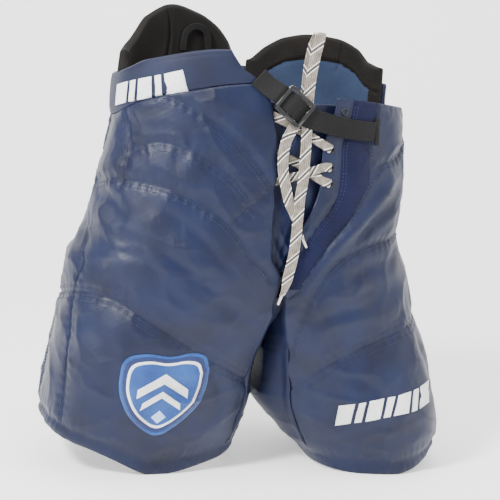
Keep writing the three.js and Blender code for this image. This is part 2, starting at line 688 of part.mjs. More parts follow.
// Free lace: from the knot behind the buckle up to the doubled end and down to the long tip,
// and from the knot down the other side to the short tip.
const FRONT_LAYER = -6.4;
const BACK_LAYER = -4.3;
const LACE_LONG = [
  [16, 463, -0.6], [19, 476, 1.5], [21, 496, 3.5], [23, 518, 5], [26, 538, 6], [30, 554, 5.5],
  [33, 564, 0.5], [32, 564, -6.5], [29, 553, -9], [26, 538, -9], [23, 520, -8.5], [21, 500, -8],
  [20, 478, -7.2], [20, 456, FRONT_LAYER], [20, 434, FRONT_LAYER], [19, 410, FRONT_LAYER],
  [18, 386, FRONT_LAYER], [15, 364, FRONT_LAYER], [14, 344, FRONT_LAYER], [13, 322, FRONT_LAYER],
  [12, 303, FRONT_LAYER], [10, 284, -6], [7, 266, -5], [4, 250, -4], [2, 240, -3.4],
];
const LACE_SHORT = [
  [11, 462, -2.7], [3, 449, BACK_LAYER], [-4, 436, BACK_LAYER], [-8, 421, BACK_LAYER], [-9, 405, BACK_LAYER],
  [-7, 390, BACK_LAYER], [-3, 374, BACK_LAYER], [1, 360, BACK_LAYER], [6, 346, -4.5], [12, 333, -4.3],
  [18, 322, -4], [23, 313, -3.6],
];
const taperLong = (t) => mix(1, 0.45, smooth((t - 0.94) / 0.06));
const taperShort = (t) => mix(1, 0.36, smooth((t - 0.62) / 0.3));
const longPoints = LACE_LONG.map(onFront);
const shortPoints = LACE_SHORT.map(onFront);
flatSweep('lace_end_long', longPoints, SIDEWARD, LACE_WIDTH, LACE_THICKNESS, 8, laceCotton, upper, taperLong);
flatSweep('lace_end_short', shortPoints, SIDEWARD, LACE_WIDTH, LACE_THICKNESS, 8, laceCotton, upper, taperShort);
function laceTip(name, points) {
  const end = points[points.length - 1];
  const dir = end.clone().sub(points[points.length - 2]).normalize();
  const tip = new THREE.CylinderGeometry(TIP_WIDTH / 2, TIP_WIDTH / 2 - 0.4, TIP_LENGTH, 10);
  const mesh = new THREE.Mesh(tip, whiteThread);
  mesh.name = name;
  mesh.quaternion.setFromUnitVectors(new THREE.Vector3(0, -1, 0), dir);
  mesh.position.copy(end).addScaledVector(dir, TIP_LENGTH / 2 + SEAT);
  upper.add(mesh);
}
laceTip('lace_tip_long', longPoints);
laceTip('lace_tip_short', shortPoints);

// Belt: ladder-lock buckle, its anchor strap on the right flap and the strap to the left slot.
const BUCKLE_BACK = -12;
const buckleX = 0;
const buckleZ = 475;
const tilt = THREE.MathUtils.degToRad(-BUCKLE_TILT);
const along = new THREE.Vector3(Math.cos(tilt), 0, Math.sin(tilt));
const across = new THREE.Vector3(-Math.sin(tilt), 0, Math.cos(tilt));
const buckleY = frontY(buckleX, buckleZ) + BUCKLE_BACK;
const hx = BUCKLE_LENGTH / 2;
const hz = BUCKLE_WIDTH / 2;
const corner = 7;
const rim = [];
for (const [qx, qz, start] of [[1, -1, -90], [1, 1, 0], [-1, 1, 90], [-1, -1, 180]]) {
  for (const step of [0, 30, 60, 90]) {
    const a = THREE.MathUtils.degToRad(start + step);
    rim.push(new THREE.Vector2(
      qx * (hx - corner) + corner * Math.cos(a),
      qz * (hz - corner) + corner * Math.sin(a),
    ));
  }
}
const outline = new THREE.Shape(rim);
const BAR = 5;
const windowHalf = WEBBING_WIDTH / 2 + 0.8;
for (const side of [-1, 1]) {
  const a = side * (BAR / 2);
  const b = side * (hx - BUCKLE_RIM);
  // The fixed bar's window is a touch taller, for the sewn end of its strap.
  const w = windowHalf + (side < 0 ? 0.4 : 0);
  const sides = [[a, -w], [b, -w], [b, w], [a, w]];
  outline.holes.push(new THREE.Path(sides.map(([x, y]) => new THREE.Vector2(x, y))));
}
const buckle = new THREE.Mesh(
  new THREE.ExtrudeGeometry(outline, { depth: BUCKLE_THICKNESS, bevelEnabled: false, curveSegments: 4 }),
  blackPlastic,
);
buckle.name = 'belt_buckle';
const outwards = new THREE.Vector3().crossVectors(along, across);
buckle.quaternion.setFromRotationMatrix(new THREE.Matrix4().makeBasis(along, across, outwards));
buckle.position.set(buckleX, buckleY, buckleZ);
upper.add(buckle);

// The straps meet the buckle's back face flat, then follow the front.
const webY = buckleY + SEAT + WEBBING_THICKNESS / 2 + 0.1;
const behindBuckle = ([x, z]) => new THREE.Vector3(x, webY, z);
const anchorPoints = [
  ...[[-12, 484], [-18, 489]].map(behindBuckle),
  ...[[-28, 495, -7], [-36, 501, -4.2], [-44, 508, -2.6]].map(onFront),
];
flatSweep('belt_anchor_strap', anchorPoints, across, WEBBING_WIDTH, WEBBING_THICKNESS, 4, blackWebbing, upper);
const strapPoints = [
  ...[[9, 467], [20, 462], [32, 459]].map(behindBuckle),
  ...[[46, 456, -8.6], [62, 453, -6], [80, 450, -4], [100, 448, -3.2], [121, 447, -3]].map(onFront),
];
flatSweep('belt_strap', strapPoints, UPWARD, WEBBING_WIDTH, WEBBING_THICKNESS, 4, blackWebbing, upper);
// Binding round the strap's slot.
facePlate('belt_slot_binding', -1, [123, 129], range(431, 463, 2), -2.4, -SEAT, blackWebbing, upper);

// ---------------------------------------------------------------- hanger loop
const hanger = new THREE.Group();
rightKidney.add(hanger);
const HANGER_WIDTH = 10;
const hangerY = (x, z) => ringDepth(right, Math.abs(x), z, 1) - lobeIn - 2.3;
const hangerPoints = [[-84, 530], [-84, 542], [-80, 556], [-68, 563], [-54, 558], [-49, 544], [-48, 530]]
  .map(([x, z]) => new THREE.Vector3(x, hangerY(x, z), z));
flatSweep('hanger_loop', hangerPoints, new THREE.Vector3(0, 1, 0), 3, HANGER_WIDTH * 0.6, 4, blackWebbing, hanger);

// ---------------------------------------------------------------- legs
// The inner side of each leg keeps further off the saddle between the legs.
const INNER_SWING_GAP = 3.3;
const legTop = (half) => (u, depth) =>
  cutHeight(half, u, depth, SWING_RADIUS + (u > 1 ? INNER_SWING_GAP : SWING_GAP));
const linerTop = (half) => (u, depth) =>
  cutHeight(half, u, depth, SWING_RADIUS + (u > 1 ? INNER_SWING_GAP + 0.5 : LINER_SWING_GAP));
const hem = (half) => (u) => hemHeight(half, u);
const bandTop = (half) => (u) => hemHeight(half, u) + HEM_BAND_HEIGHT;
const LEG_LEVELS = [0, 0.18, 0.36, 0.54, 0.72, 0.88, 1];
function tube(name, half, bottom, top, levels, outside, inside, material, parent) {
  const us = [...STEPS.filter((u) => u <= 1), ...INNER_STEPS];
  return slab(
    name,
    us.length,
    levels.length,
    (i, j, face) => {
      const depth = face === 0 ? outside : inside;
      const z = rowHeight(us[i], depth, j, levels, bottom, top);
      return surfacePoint(half, us[i], z, depth);
    },
    material,
    parent,
    true,
  );
}
for (const [side, half, body] of [['right', right, rightLeg], ['left', left, leftLeg]]) {
  const low = (u) => bandTop(half)(u) + SEAT;
  tube(`${side}_hem_band`, half, hem(half), bandTop(half), [0, 1], 0, SHELL + 1, navyNylon, body);
  tube(`${side}_thigh_shell`, half, low, legTop(half), LEG_LEVELS, 0, SHELL, navyNylon, body);
  tube(`${side}_leg_liner`, half, low, linerTop(half), [0, 0.36, 0.72, 0.88, 1], linerOut, linerIn, blackFoam, body);
  const level = (t) => (u) => mix(low(u), legTop(half)(u, 0), t);
  // Guard and foam stop short of the swing cut at their own depth, so that they turn clear of the hip.
  const padTop = (u, depth) =>
    Math.min(level(0.88)(u), cutHeight(half, u, depth, SWING_RADIUS + PAD_SWING_GAP));
  layer(`${side}_thigh_guard`, half, 0.16, 0.84, level(0.18), padTop, [0, 0.257, 0.514, 0.771, 1], guardOut, guardIn, guardPlastic, body);
  layer(`${side}_thigh_pad`, half, 0.12, 0.88, level(0.09), padTop, [0, 0.114, 0.342, 0.57, 0.797, 1], padOut, padIn, whiteFoam, body);
}

// Crest on the right thigh and stitched motif on the left, each on the shell's own lines.
function badge(name, half, uMid, zMid, width, height, skew, material, parent) {
  const length = arcTable(half, zMid, true).length;
  const du = width / 2 / length;
  const us = [uMid - du, ...STEPS.filter((u) => u > uMid - du + 0.005 && u < uMid + du - 0.005), uMid + du];
  const zs = range(zMid - height / 2, zMid + height / 2, 5);
  return slab(
    name,
    us.length,
    zs.length,
    (i, j, face) => {
      const z = zs[j] + skew * (us[i] - uMid) * length;
      return surfacePoint(half, us[i], z, -TRIM_LIFT - (1 - face) * TRIM_THICKNESS);
    },
    material,
    parent,
  );
}
badge('thigh_crest', right, 0.195, 113, CREST_WIDTH, CREST_HEIGHT, 0, crestFelt, rightLeg);
badge('thigh_motif', left, 0.205, 95, 150, 34, 0.2, whiteThread, leftLeg);

// ---------------------------------------------------------------- origin at the middle of the base
// The free lace is left out, because it can be laid anywhere.
pants.updateMatrixWorld(true);
const FREE_LACE = ['lace_end_long', 'lace_end_short', 'lace_tip_long', 'lace_tip_short'];
const box = new THREE.Box3();
pants.traverse((piece) => {
  if (piece.isMesh && !FREE_LACE.includes(piece.name)) box.expandByObject(piece, true);
});
pants.position.set(-(box.min.x + box.max.x) / 2, -(box.min.y + box.max.y) / 2, -box.min.z);
pants.updateMatrixWorld(true);

export default pants;
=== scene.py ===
# %% [markdown]
# # Ice hockey pants
# Padded ice hockey pants stand on their hems, unworn, with the fly unlaced and the back pads up.
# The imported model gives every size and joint. Here each plain solid gets the cloth, foam,
# webbing and plastic that it stands for, in metres and in the same place.

import json
import math

import bmesh
import bpy
import numpy as np
from mathutils import Matrix, Vector


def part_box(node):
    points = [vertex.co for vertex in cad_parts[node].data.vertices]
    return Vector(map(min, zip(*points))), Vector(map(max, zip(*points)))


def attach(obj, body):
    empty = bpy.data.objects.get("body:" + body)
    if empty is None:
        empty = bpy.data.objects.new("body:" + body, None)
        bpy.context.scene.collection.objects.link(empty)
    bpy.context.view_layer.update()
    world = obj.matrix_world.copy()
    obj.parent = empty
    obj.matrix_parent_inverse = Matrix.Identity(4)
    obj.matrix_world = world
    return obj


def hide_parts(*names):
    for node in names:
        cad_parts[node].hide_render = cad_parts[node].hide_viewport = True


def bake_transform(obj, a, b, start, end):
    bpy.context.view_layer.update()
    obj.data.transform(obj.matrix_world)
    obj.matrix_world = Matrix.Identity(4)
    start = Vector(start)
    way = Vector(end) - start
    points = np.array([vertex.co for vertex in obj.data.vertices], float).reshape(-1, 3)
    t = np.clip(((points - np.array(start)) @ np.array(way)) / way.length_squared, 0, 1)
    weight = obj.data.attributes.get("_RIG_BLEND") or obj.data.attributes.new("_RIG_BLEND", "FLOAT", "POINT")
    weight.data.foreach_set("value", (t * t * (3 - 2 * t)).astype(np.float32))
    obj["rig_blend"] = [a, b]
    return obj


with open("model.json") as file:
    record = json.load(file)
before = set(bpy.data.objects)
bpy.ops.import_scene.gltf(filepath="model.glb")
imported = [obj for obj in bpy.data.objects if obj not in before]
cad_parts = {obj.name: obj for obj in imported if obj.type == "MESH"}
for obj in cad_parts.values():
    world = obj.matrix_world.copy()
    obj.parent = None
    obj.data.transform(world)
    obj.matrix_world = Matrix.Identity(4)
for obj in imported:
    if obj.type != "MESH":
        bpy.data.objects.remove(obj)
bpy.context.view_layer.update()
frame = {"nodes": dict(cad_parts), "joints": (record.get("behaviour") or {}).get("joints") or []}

# %% [markdown]
# ## Camera
# The pants are seen from a little to the wearer's right and slightly above the hems' level.
# A long lens keeps the two legs the same size. Its roll is small, because the pants lean.

# %% Camera
AZIMUTH, ELEVATION, ROLL = math.radians(-20), math.radians(9), math.radians(4)
VIEW_CENTRE = Vector((-0.0044, 0.0042, 0.277))
DISTANCE, FIELD_WIDTH, SENSOR = 1.8, 0.66, 36.0
back = Vector(
    (
        math.sin(AZIMUTH) * math.cos(ELEVATION),
        -math.cos(AZIMUTH) * math.cos(ELEVATION),
        math.sin(ELEVATION),
    )
)
camera_data = bpy.data.cameras.new("camera")
camera_data.sensor_width = SENSOR
camera_data.lens = SENSOR * DISTANCE / FIELD_WIDTH
camera = bpy.data.objects.new("camera", camera_data)
bpy.context.scene.collection.objects.link(camera)
camera.rotation_mode = "QUATERNION"
facing = (-back).to_track_quat("-Z", "Y").to_matrix()
camera.rotation_quaternion = (facing @ Matrix.Rotation(ROLL, 3, "Z")).to_quaternion()
camera.location = VIEW_CENTRE + back * DISTANCE
bpy.context.scene.camera = camera
print("camera at", [round(v, 3) for v in camera.location])

# %% [markdown]
# ## Small helpers
# Colours are written as sRGB hex and turned to linear light once. A node helper adds one
# shader node with its settings and links. A pattern's scale is written from a real size.

# %% Colour and node helpers
MM = 0.001


def srgb(text):
    parts = [int(text[i : i + 2], 16) / 255 for i in (1, 3, 5)]
    return tuple(c / 12.92 if c <= 0.04045 else ((c + 0.055) / 1.055) ** 2.4 for c in parts) + (1.0,)


def node(tree, kind, settings=None, **links):
    """Adds a node. settings holds attributes or input values, links holds input name: socket."""
    made = tree.nodes.new(kind)
    for key, value in (settings or {}).items():
        if hasattr(made, key):
            setattr(made, key, value)
        else:
            made.inputs[key].default_value = value
    for key, socket in links.items():
        target = int(key[1:]) if key[0] == "i" and key[1:].isdigit() else key.replace("_", " ")
        tree.links.new(made.inputs[target], socket)
    return made


def material(name, rough, metal=0.0, **fixed):
    """A named Principled material. fixed holds values of sockets that are the same all over."""
    made = bpy.data.materials.new(name)
    made.use_nodes = True
    tree = made.node_tree
    shader = tree.nodes["Principled BSDF"]
    shader.inputs["Roughness"].default_value = rough
    shader.inputs["Metallic"].default_value = metal
    for key, value in fixed.items():
        shader.inputs[key.replace("_", " ")].default_value = value
    return made, tree, shader


def wave_scale(period_mm):
    """Scale of a Wave texture whose bands repeat every period_mm."""
    return 2 * math.pi / (20 * period_mm * MM)


def noise_scale(size_mm):
    """Scale of a Noise texture whose blobs are about size_mm across."""
    return 1 / (size_mm * MM)


def two_tones(tree, factor, dark, light, low=0.3, high=0.7):
    """A ramp between two colours, driven by a texture's value."""
    ramp = node(tree, "ShaderNodeValToRGB", Fac=factor)
    ramp.color_ramp.elements[0].position = low
    ramp.color_ramp.elements[0].color = srgb(dark)
    ramp.color_ramp.elements[1].position = high
    ramp.color_ramp.elements[1].color = srgb(light)
    return ramp.outputs["Color"]


def bumped(tree, shader, layers):
    """Chains bump nodes: layers are (height socket, strength, distance in mm)."""
    normal = None
    for height, strength, distance in layers:
        links = {"Height": height}
        if normal is not None:
            links["Normal"] = normal
        made = node(tree, "ShaderNodeBump", {"Strength": strength, "Distance": distance * MM}, **links)
        normal = made.outputs["Normal"]
    tree.links.new(shader.inputs["Normal"], normal)


# %% [markdown]
# ## Finishes
# Woven nylon has a satin shine, so it keeps a sheen and a soft highlight. Its threads are
# about 0.5 mm, too fine to show, so the weave is drawn at 1.4 mm. Cloth patterns read an
# attribute that runs along the cloth, in metres, so they bend with the folds.


# %% Woven cloth
PATCH_MM, FLECK_MM = 45.0, 3.0


def woven(name, dark, light, rough, thread_mm, depth, sheen, spec=0.3):
    """Cloth with a weave of thread_mm, raised depth mm, and faint patches of tone."""
    made, tree, shader = material(
        name, rough, Sheen_Weight=sheen, Sheen_Roughness=0.45, Specular_IOR_Level=spec
    )
    cloth = node(tree, "ShaderNodeAttribute", {"attribute_name": "cloth"}).outputs["Vector"]
    place = node(tree, "ShaderNodeTexCoord").outputs["Object"]
    shape = {"Scale": wave_scale(thread_mm), "Distortion": 0.6, "Detail": 1.0}
    warp, weft = (
        node(tree, "ShaderNodeTexWave", {"bands_direction": way, **shape}, Vector=cloth).outputs["Fac"]
        for way in "XY"
    )
    weave = node(tree, "ShaderNodeMath", {"operation": "MULTIPLY"}, i0=warp, i1=weft)
    patch = node(tree, "ShaderNodeTexNoise", {"Scale": noise_scale(PATCH_MM), "Detail": 4.0}, Vector=place)
    fleck = node(tree, "ShaderNodeTexNoise", {"Scale": noise_scale(FLECK_MM), "Detail": 2.0}, Vector=place)
    both = node(
        tree,
        "ShaderNodeMath",
        {"operation": "MULTIPLY_ADD"},
        i0=fleck.outputs["Fac"],
        i2=patch.outputs["Fac"],
    )
    both.inputs[1].default_value = 0.35
    colour = two_tones(tree, both.outputs[0], dark, light, 0.45, 0.9)
    tree.links.new(shader.inputs["Base Color"], colour)
    bumped(tree, shader, [(weave.outputs[0], 0.55, depth), (fleck.outputs["Fac"], 0.2, 0.4)])
    return made


nylon = woven("woven navy nylon", "#060d26", "#0b1738", 0.36, 1.4, 0.35, sheen=0.02, spec=0.3)
hem_nylon = woven("bound navy nylon hem", "#070e28", "#0c183a", 0.5, 1.4, 0.4, sheen=0.04)
band_cloth = woven("brushed navy waistband", "#060d25", "#0b1636", 0.55, 1.0, 0.3, sheen=0.05)
stretch = woven("navy stretch knit", "#0d1029", "#141837", 0.9, 2.0, 0.5, sheen=0.08, spec=0.15)
gusset_cloth = woven("navy gusset nylon", "#08102a", "#0f1a3e", 0.42, 1.4, 0.35, sheen=0.04)
lining_cloth = woven("brushed blue lining", "#2a3449", "#333f57", 0.95, 1.2, 0.25, sheen=0.1, spec=0.1)
inner_mesh = woven("black spacer mesh", "#0a0a0a", "#171717", 0.85, 3.0, 0.8, sheen=0.15)
neoprene = woven("black neoprene", "#0c0a09", "#171412", 0.8, 1.1, 0.2, sheen=0.03, spec=0.2)
rim_mesh = woven("black pad mesh", "#0d0b0a", "#1a1714", 0.85, 2.6, 0.6, sheen=0.03, spec=0.2)
white_foam = woven("closed-cell white foam", "#c9c6bf", "#e2dfd8", 0.95, 3.0, 0.3, sheen=0.0)
webbing = woven("ribbed black webbing", "#060606", "#101010", 0.7, 2.2, 0.9, sheen=0.02, spec=0.22)
thread = woven("navy sewing thread", "#0b142e", "#15213f", 0.6, 0.8, 0.2, sheen=0.2)
white_thread = woven("white satin embroidery", "#c9cbd0", "#f4f4f2", 0.5, 1.2, 0.5, sheen=0.3)
blue_thread = woven("blue satin embroidery", "#0d3070", "#1f5296", 0.5, 1.2, 0.5, sheen=0.3)
dark_thread = woven("dark blue satin embroidery", "#0f1c46", "#1c2e63", 0.5, 1.2, 0.5, sheen=0.3)
pale_thread = woven("pale blue satin embroidery", "#86a9d9", "#b9d0ee", 0.5, 1.2, 0.5, sheen=0.3)
print("cloth finishes:", len(bpy.data.materials))


# %% [markdown]
# Acetal buckles come out of the mould glossy with a faint orange peel. Enamelled eyelets are
# hard and shiny. The moulded guards are plain matt polyethylene.


# %% Plastic and metal finishes
def moulded(name, dark, light, rough, peel_mm, metal=0.0, coat=0.0):
    made, tree, shader = material(name, rough, metal, Coat_Weight=coat)
    place = node(tree, "ShaderNodeTexCoord").outputs["Object"]
    peel = node(tree, "ShaderNodeTexNoise", {"Scale": noise_scale(peel_mm), "Detail": 2.0}, Vector=place)
    wear = node(tree, "ShaderNodeTexNoise", {"Scale": noise_scale(9.0), "Detail": 5.0}, Vector=place)
    tree.links.new(shader.inputs["Base Color"], two_tones(tree, wear.outputs["Fac"], dark, light))
    bumped(tree, shader, [(peel.outputs["Fac"], 0.25, 0.15)])
    return made


acetal = moulded("glossy black acetal", "#0b0b0c", "#17171a", 0.28, 1.5, coat=0.3)
enamel = moulded("black enamelled brass", "#0d0e11", "#22242a", 0.35, 1.0, metal=0.4)
polyethylene = moulded("matt white polyethylene", "#d4d4d0", "#ebebe7", 0.5, 2.0)
tip_film = moulded("shrunk white tip film", "#bdb8ad", "#dcd8cf", 0.35, 1.0)


# %% [markdown]
# The lace is a flat tube of waxed cotton. Two lengthwise ribs run along it, and a dark and
# white tracer crosses it every 33 mm. Its pattern reads the lace's own length and width.


# %% Lace finish
LACE_WIDTH = 14 * MM
TRACER_EVERY = 26 * MM


def lace_material():
    made, tree, shader = material("waxed flat cotton lace", 0.8, Sheen_Weight=0.3)
    cloth = node(tree, "ShaderNodeAttribute", {"attribute_name": "cloth"}).outputs["Vector"]
    split = node(tree, "ShaderNodeSeparateXYZ", Vector=cloth)
    along, over = split.outputs["X"], split.outputs["Y"]
    ribs = node(
        tree,
        "ShaderNodeTexWave",
        {"bands_direction": "Y", "Scale": wave_scale(2.4), "Distortion": 0.3},
        Vector=cloth,
    )
    picks = node(
        tree,
        "ShaderNodeTexWave",
        {"bands_direction": "X", "Scale": wave_scale(1.6), "Distortion": 0.5},
        Vector=cloth,
    )
    dirt = node(tree, "ShaderNodeTexNoise", {"Scale": noise_scale(7.0), "Detail": 4.0}, Vector=cloth)
    base = two_tones(tree, dirt.outputs["Fac"], "#6b645a", "#9b9284", 0.3, 0.7)

    def calc(operation, first, second):
        made_node = node(tree, "ShaderNodeMath", {"operation": operation})
        for index, value in enumerate((first, second)):
            if isinstance(value, (int, float)):
                made_node.inputs[index].default_value = value
            else:
                tree.links.new(made_node.inputs[index], value)
        return made_node.outputs[0]

    # Distance along from the slanted line that the tracer follows.
    slant = calc("ADD", along, calc("MULTIPLY", over, 1.1))
    phase = calc("PINGPONG", slant, TRACER_EVERY / 2)
    dark_line = calc("LESS_THAN", phase, 2.1 * MM)
    light_line = calc("MULTIPLY", calc("LESS_THAN", phase, 4.2 * MM), calc("GREATER_THAN", phase, 2.1 * MM))
    # Painted shade: the colour is darkened in the grooves between the ribs, on the same wave that raises
    # them.
    rib_groove_shade = node(tree, "ShaderNodeMix", {"data_type": "RGBA", "blend_type": "MULTIPLY"})
    rib_groove_shade.inputs["Factor"].default_value = 0.55
    tree.links.new(rib_groove_shade.inputs[6], base)
    tree.links.new(rib_groove_shade.inputs[7], two_tones(tree, ribs.outputs["Fac"], "#6f675c", "#ffffff", 0.1, 0.6))
    dark = node(tree, "ShaderNodeMix", {"data_type": "RGBA"})
    tree.links.new(dark.inputs[0], calc("MULTIPLY", dark_line, 0.85))
    tree.links.new(dark.inputs[6], rib_groove_shade.outputs[2])
    dark.inputs[7].default_value = srgb("#1f1d1c")
    light = node(tree, "ShaderNodeMix", {"data_type": "RGBA"})
    tree.links.new(light.inputs[0], calc("MULTIPLY", light_line, 0.8))
    tree.links.new(light.inputs[6], dark.outputs[2])
    light.inputs[7].default_value = srgb("#eeeae2")
    tree.links.new(shader.inputs["Base Color"], light.outputs[2])
    bumped(tree, shader, [(ribs.outputs["Fac"], 0.7, 0.5), (picks.outputs["Fac"], 0.4, 0.3)])
    return made


lace_cloth = lace_material()
print("all finishes:", len(bpy.data.materials))


# %% [markdown]
# ## The pants' outer face
# Each half is a soft tube below and half of an oval ring above. A point on it has u, which
# runs from the fly edge (0) round the hip to the back seam (1) and on round the inner leg to
# the front again (2), and a height z. The same tables of widths and depths as the packed
# model give its place in millimetres, so every layer and trim piece lands on it.

# %% Sizes and tables of the two halves
SEAT = 0.3
WAIST_HALF_WIDTH, WAIST_FRONT, WAIST_BACK = 195, 112, 108
HIP_FRONT, HIP_BACK = 124, 121
RIGHT_HIP, LEFT_HIP = 222, 194
SQUARENESS = 2.4
CENTRE_X, CENTRE_GAP = 4, 1.5
RIGHT_HEM = dict(outer=265, inner=14, front=77, back=88, outer_rise=57, inner_rise=25)
LEFT_HEM = dict(outer=271, inner=92, front=118, back=98, outer_rise=38, inner_rise=8)
HEM_FLAT = 1.5
PIVOT_Z, PIVOT_Y, SWING_RADIUS = 300, -1.5, 127


def clamp01(t):
    return np.clip(t, 0.0, 1.0)


def smooth(t):
    t = clamp01(t)
    return t * t * (3 - 2 * t)


def mix(a, b, t):
    return a + (b - a) * t


def curve(rows, key):
    xs, ys = np.array(rows, float).T
    run = np.diff(xs)
    rise = np.diff(ys) / run
    slope = np.zeros(len(xs))
    pair = rise[:-1] * rise[1:]
    with np.errstate(divide="ignore", invalid="ignore"):
        slope[1:-1] = np.where(pair > 0, 2 * pair / (rise[:-1] + rise[1:]), 0)
    key = np.clip(np.asarray(key, float), xs[0], xs[-1])
    i = np.clip(np.searchsorted(xs, key, side="right") - 1, 0, len(xs) - 2)
    t = (key - xs[i]) / run[i]
    return (
        ys[i] * (2 * t**3 - 3 * t**2 + 1)
        + ys[i + 1] * (3 * t**2 - 2 * t**3)
        + slope[i] * run[i] * (t**3 - 2 * t**2 + t)
        + slope[i + 1] * run[i] * (t**3 - t**2)
    )


def depth_rows(hem, hip, waist, face):
    if face < 0:
        return [[0, hem], [65, mix(hem, hip, 0.26)], [140, mix(hem, hip, 0.58)], [216, mix(hem, hip, 0.86)],
                [275, hip - 1], [304, hip], [355, hip - 2], [399, mix(waist, hip, 0.6)],
                [443, mix(waist, hip, 0.25)], [477, waist], [540, waist - 4], [600, waist - 6]]
    return [[0, hem], [65, mix(hem, hip, 0.2)], [140, mix(hem, hip, 0.5)], [216, mix(hem, hip, 0.86)],
            [275, hip], [304, hip], [355, hip - 3], [399, mix(waist, hip, 0.5)],
            [443, mix(waist, hip, 0.15)], [477, waist], [540, waist - 2], [600, waist - 4]]


W = WAIST_HALF_WIDTH
R, RH = RIGHT_HIP, RIGHT_HEM["outer"]
L, LH = LEFT_HIP, LEFT_HEM["outer"]
right = dict(
    sign=-1,
    seam=-CENTRE_X + CENTRE_GAP,
    yaw=0.0,
    outer=[[0, RH - 2], [65, RH]]
    + [[z, mix(R, RH, k)] for z, k in
       [(103, .88), (138, .76), (178, .65), (216, .56), (245, .49), (275, .37), (287, .16)]]
    + [[304, R - 1], [355, mix(W, R, .55)], [399, mix(W, R, .22)], [443, W - 1], [477, W]]
    + [[540, W - 3], [600, W - 7]],
    front=depth_rows(RIGHT_HEM["front"], HIP_FRONT, WAIST_FRONT, -1),
    back=depth_rows(RIGHT_HEM["back"], HIP_BACK, WAIST_BACK, 1),
    inner=[[0, RIGHT_HEM["inner"]], [60, mix(-2.5, RIGHT_HEM["inner"], .45)], [108, -2.5]],
    fly=[[262, -2.5], [290, 14], [416, 15], [473, 25], [504, 42], [518, 62], [563, 85]],
    hem=RIGHT_HEM,
    seam_top=[[0, 499], [.27, mix(447, 499, .62)], [.5, 447], [1, 465]],
)
left = dict(
    sign=1,
    seam=CENTRE_X + CENTRE_GAP,
    yaw=math.radians(-15),
    outer=[[0, LH - 3], [42, LH], [64, LH - 3]]
    + [[z, mix(L, LH, k)] for z, k in [(115, .77), (160, .6), (203, .42), (265, .2), (284, .1)]]
    + [[303, L], [362, L + 1], [414, mix(W, L, .5)], [471, W - 5], [540, W - 5], [600, W - 9]],
    front=depth_rows(LEFT_HEM["front"], HIP_FRONT, WAIST_FRONT, -1),
    back=depth_rows(LEFT_HEM["back"], HIP_BACK, WAIST_BACK, 1),
    inner=[[0, LEFT_HEM["inner"]], [40, mix(5.5, LEFT_HEM["inner"], .6)], [108, 5.5]],
    fly=[[255, 5.5], [300, 10], [330, 24], [350, 35], [382, 44], [423, 45], [469, 60], [487, 62]],
    hem=LEFT_HEM,
    seam_top=[[0, 487], [.3, mix(470, 487, .45)], [.5, 470], [1, 465]],
)


def ring_depth(half, s, z, face):
    wide = curve(half["outer"], z)
    deep = curve(half["front" if face < 0 else "back"], z)
    k = 1 - np.abs(s / wide) ** SQUARENESS
    return deep * np.maximum(0, k) ** (1 / SQUARENESS)


# %% Section radius by angle, tabled every 2 mm of height
LEVELS = np.arange(0.0, 604.0, 2.0)
SAMPLES = 181


def build_tables(half):
    z = LEVELS[:, None]
    wide, front = curve(half["outer"], z), curve(half["front"], z)
    back, inner = curve(half["back"], z), curve(half["inner"], z)
    leg_share = 1 - smooth((z - 110) / 180)
    cx, cy = (wide + inner) / 2, (back - front) / 2
    half_wide, half_deep = (wide - inner) / 2, (front + back) / 2
    square = mix(3.2, 2.7, smooth((120 - z) / 120))
    yaw = half["yaw"] * smooth((240 - z) / 160)
    seam = half["seam"]

    def radius(angle):
        c, s = np.cos(angle), np.sin(angle)
        near, far = np.zeros_like(angle), np.full_like(angle, 420.0)
        for _ in range(34):
            t = (near + far) / 2
            y = cy + t * s
            total = np.abs((cx + t * c) / wide) ** SQUARENESS
            total = total + np.abs(y / np.where(y < 0, front, back)) ** SQUARENESS
            outside = total > 1
            far = np.where(outside, t, far)
            near = np.where(outside, near, t)
        plane = np.where(c < 0, (cx - seam) / np.maximum(-c, 1e-9), 1e9)
        body = np.minimum(near, plane)
        ca = np.abs(np.cos(angle - yaw) / half_wide) ** square
        sa = np.abs(np.sin(angle - yaw) / half_deep) ** square
        leg = np.minimum((ca + sa) ** (-1 / square), plane)
        return mix(body, leg, leg_share)

    fly = curve(half["fly"], z)
    edge = np.where(z > half["fly"][0][0], np.maximum(seam, fly), seam)
    start = np.arctan2(-ring_depth(half, edge, z, -1) - cy, edge - cx)
    end = np.arctan2(ring_depth(half, seam, z, 1) - cy, seam - cx)
    half["cx"], half["cy"] = cx[:, 0], cy[:, 0]
    half["angle"], half["radius"], half["length"] = [], [], []
    for a, b in ((start, end), (end, start + 2 * np.pi)):
        angle = mix(a, b, np.linspace(0, 1, 97)[None, :])
        r = radius(angle)
        x, y = cx + r * np.cos(angle), cy + r * np.sin(angle)
        step = np.hypot(np.diff(x), np.diff(y))
        run = np.concatenate([np.zeros((len(LEVELS), 1)), np.cumsum(step, axis=1)], axis=1)
        want = np.linspace(0, 1, SAMPLES)
        half["angle"].append(np.array([np.interp(want * q[-1], q, g) for q, g in zip(run, angle)]))
        half["radius"].append(np.array([np.interp(want * q[-1], q, g) for q, g in zip(run, r)]))
        half["length"].append(run[:, -1])
    for key in ("angle", "radius", "length"):
        half[key] = np.array(half[key])


build_tables(right)
build_tables(left)


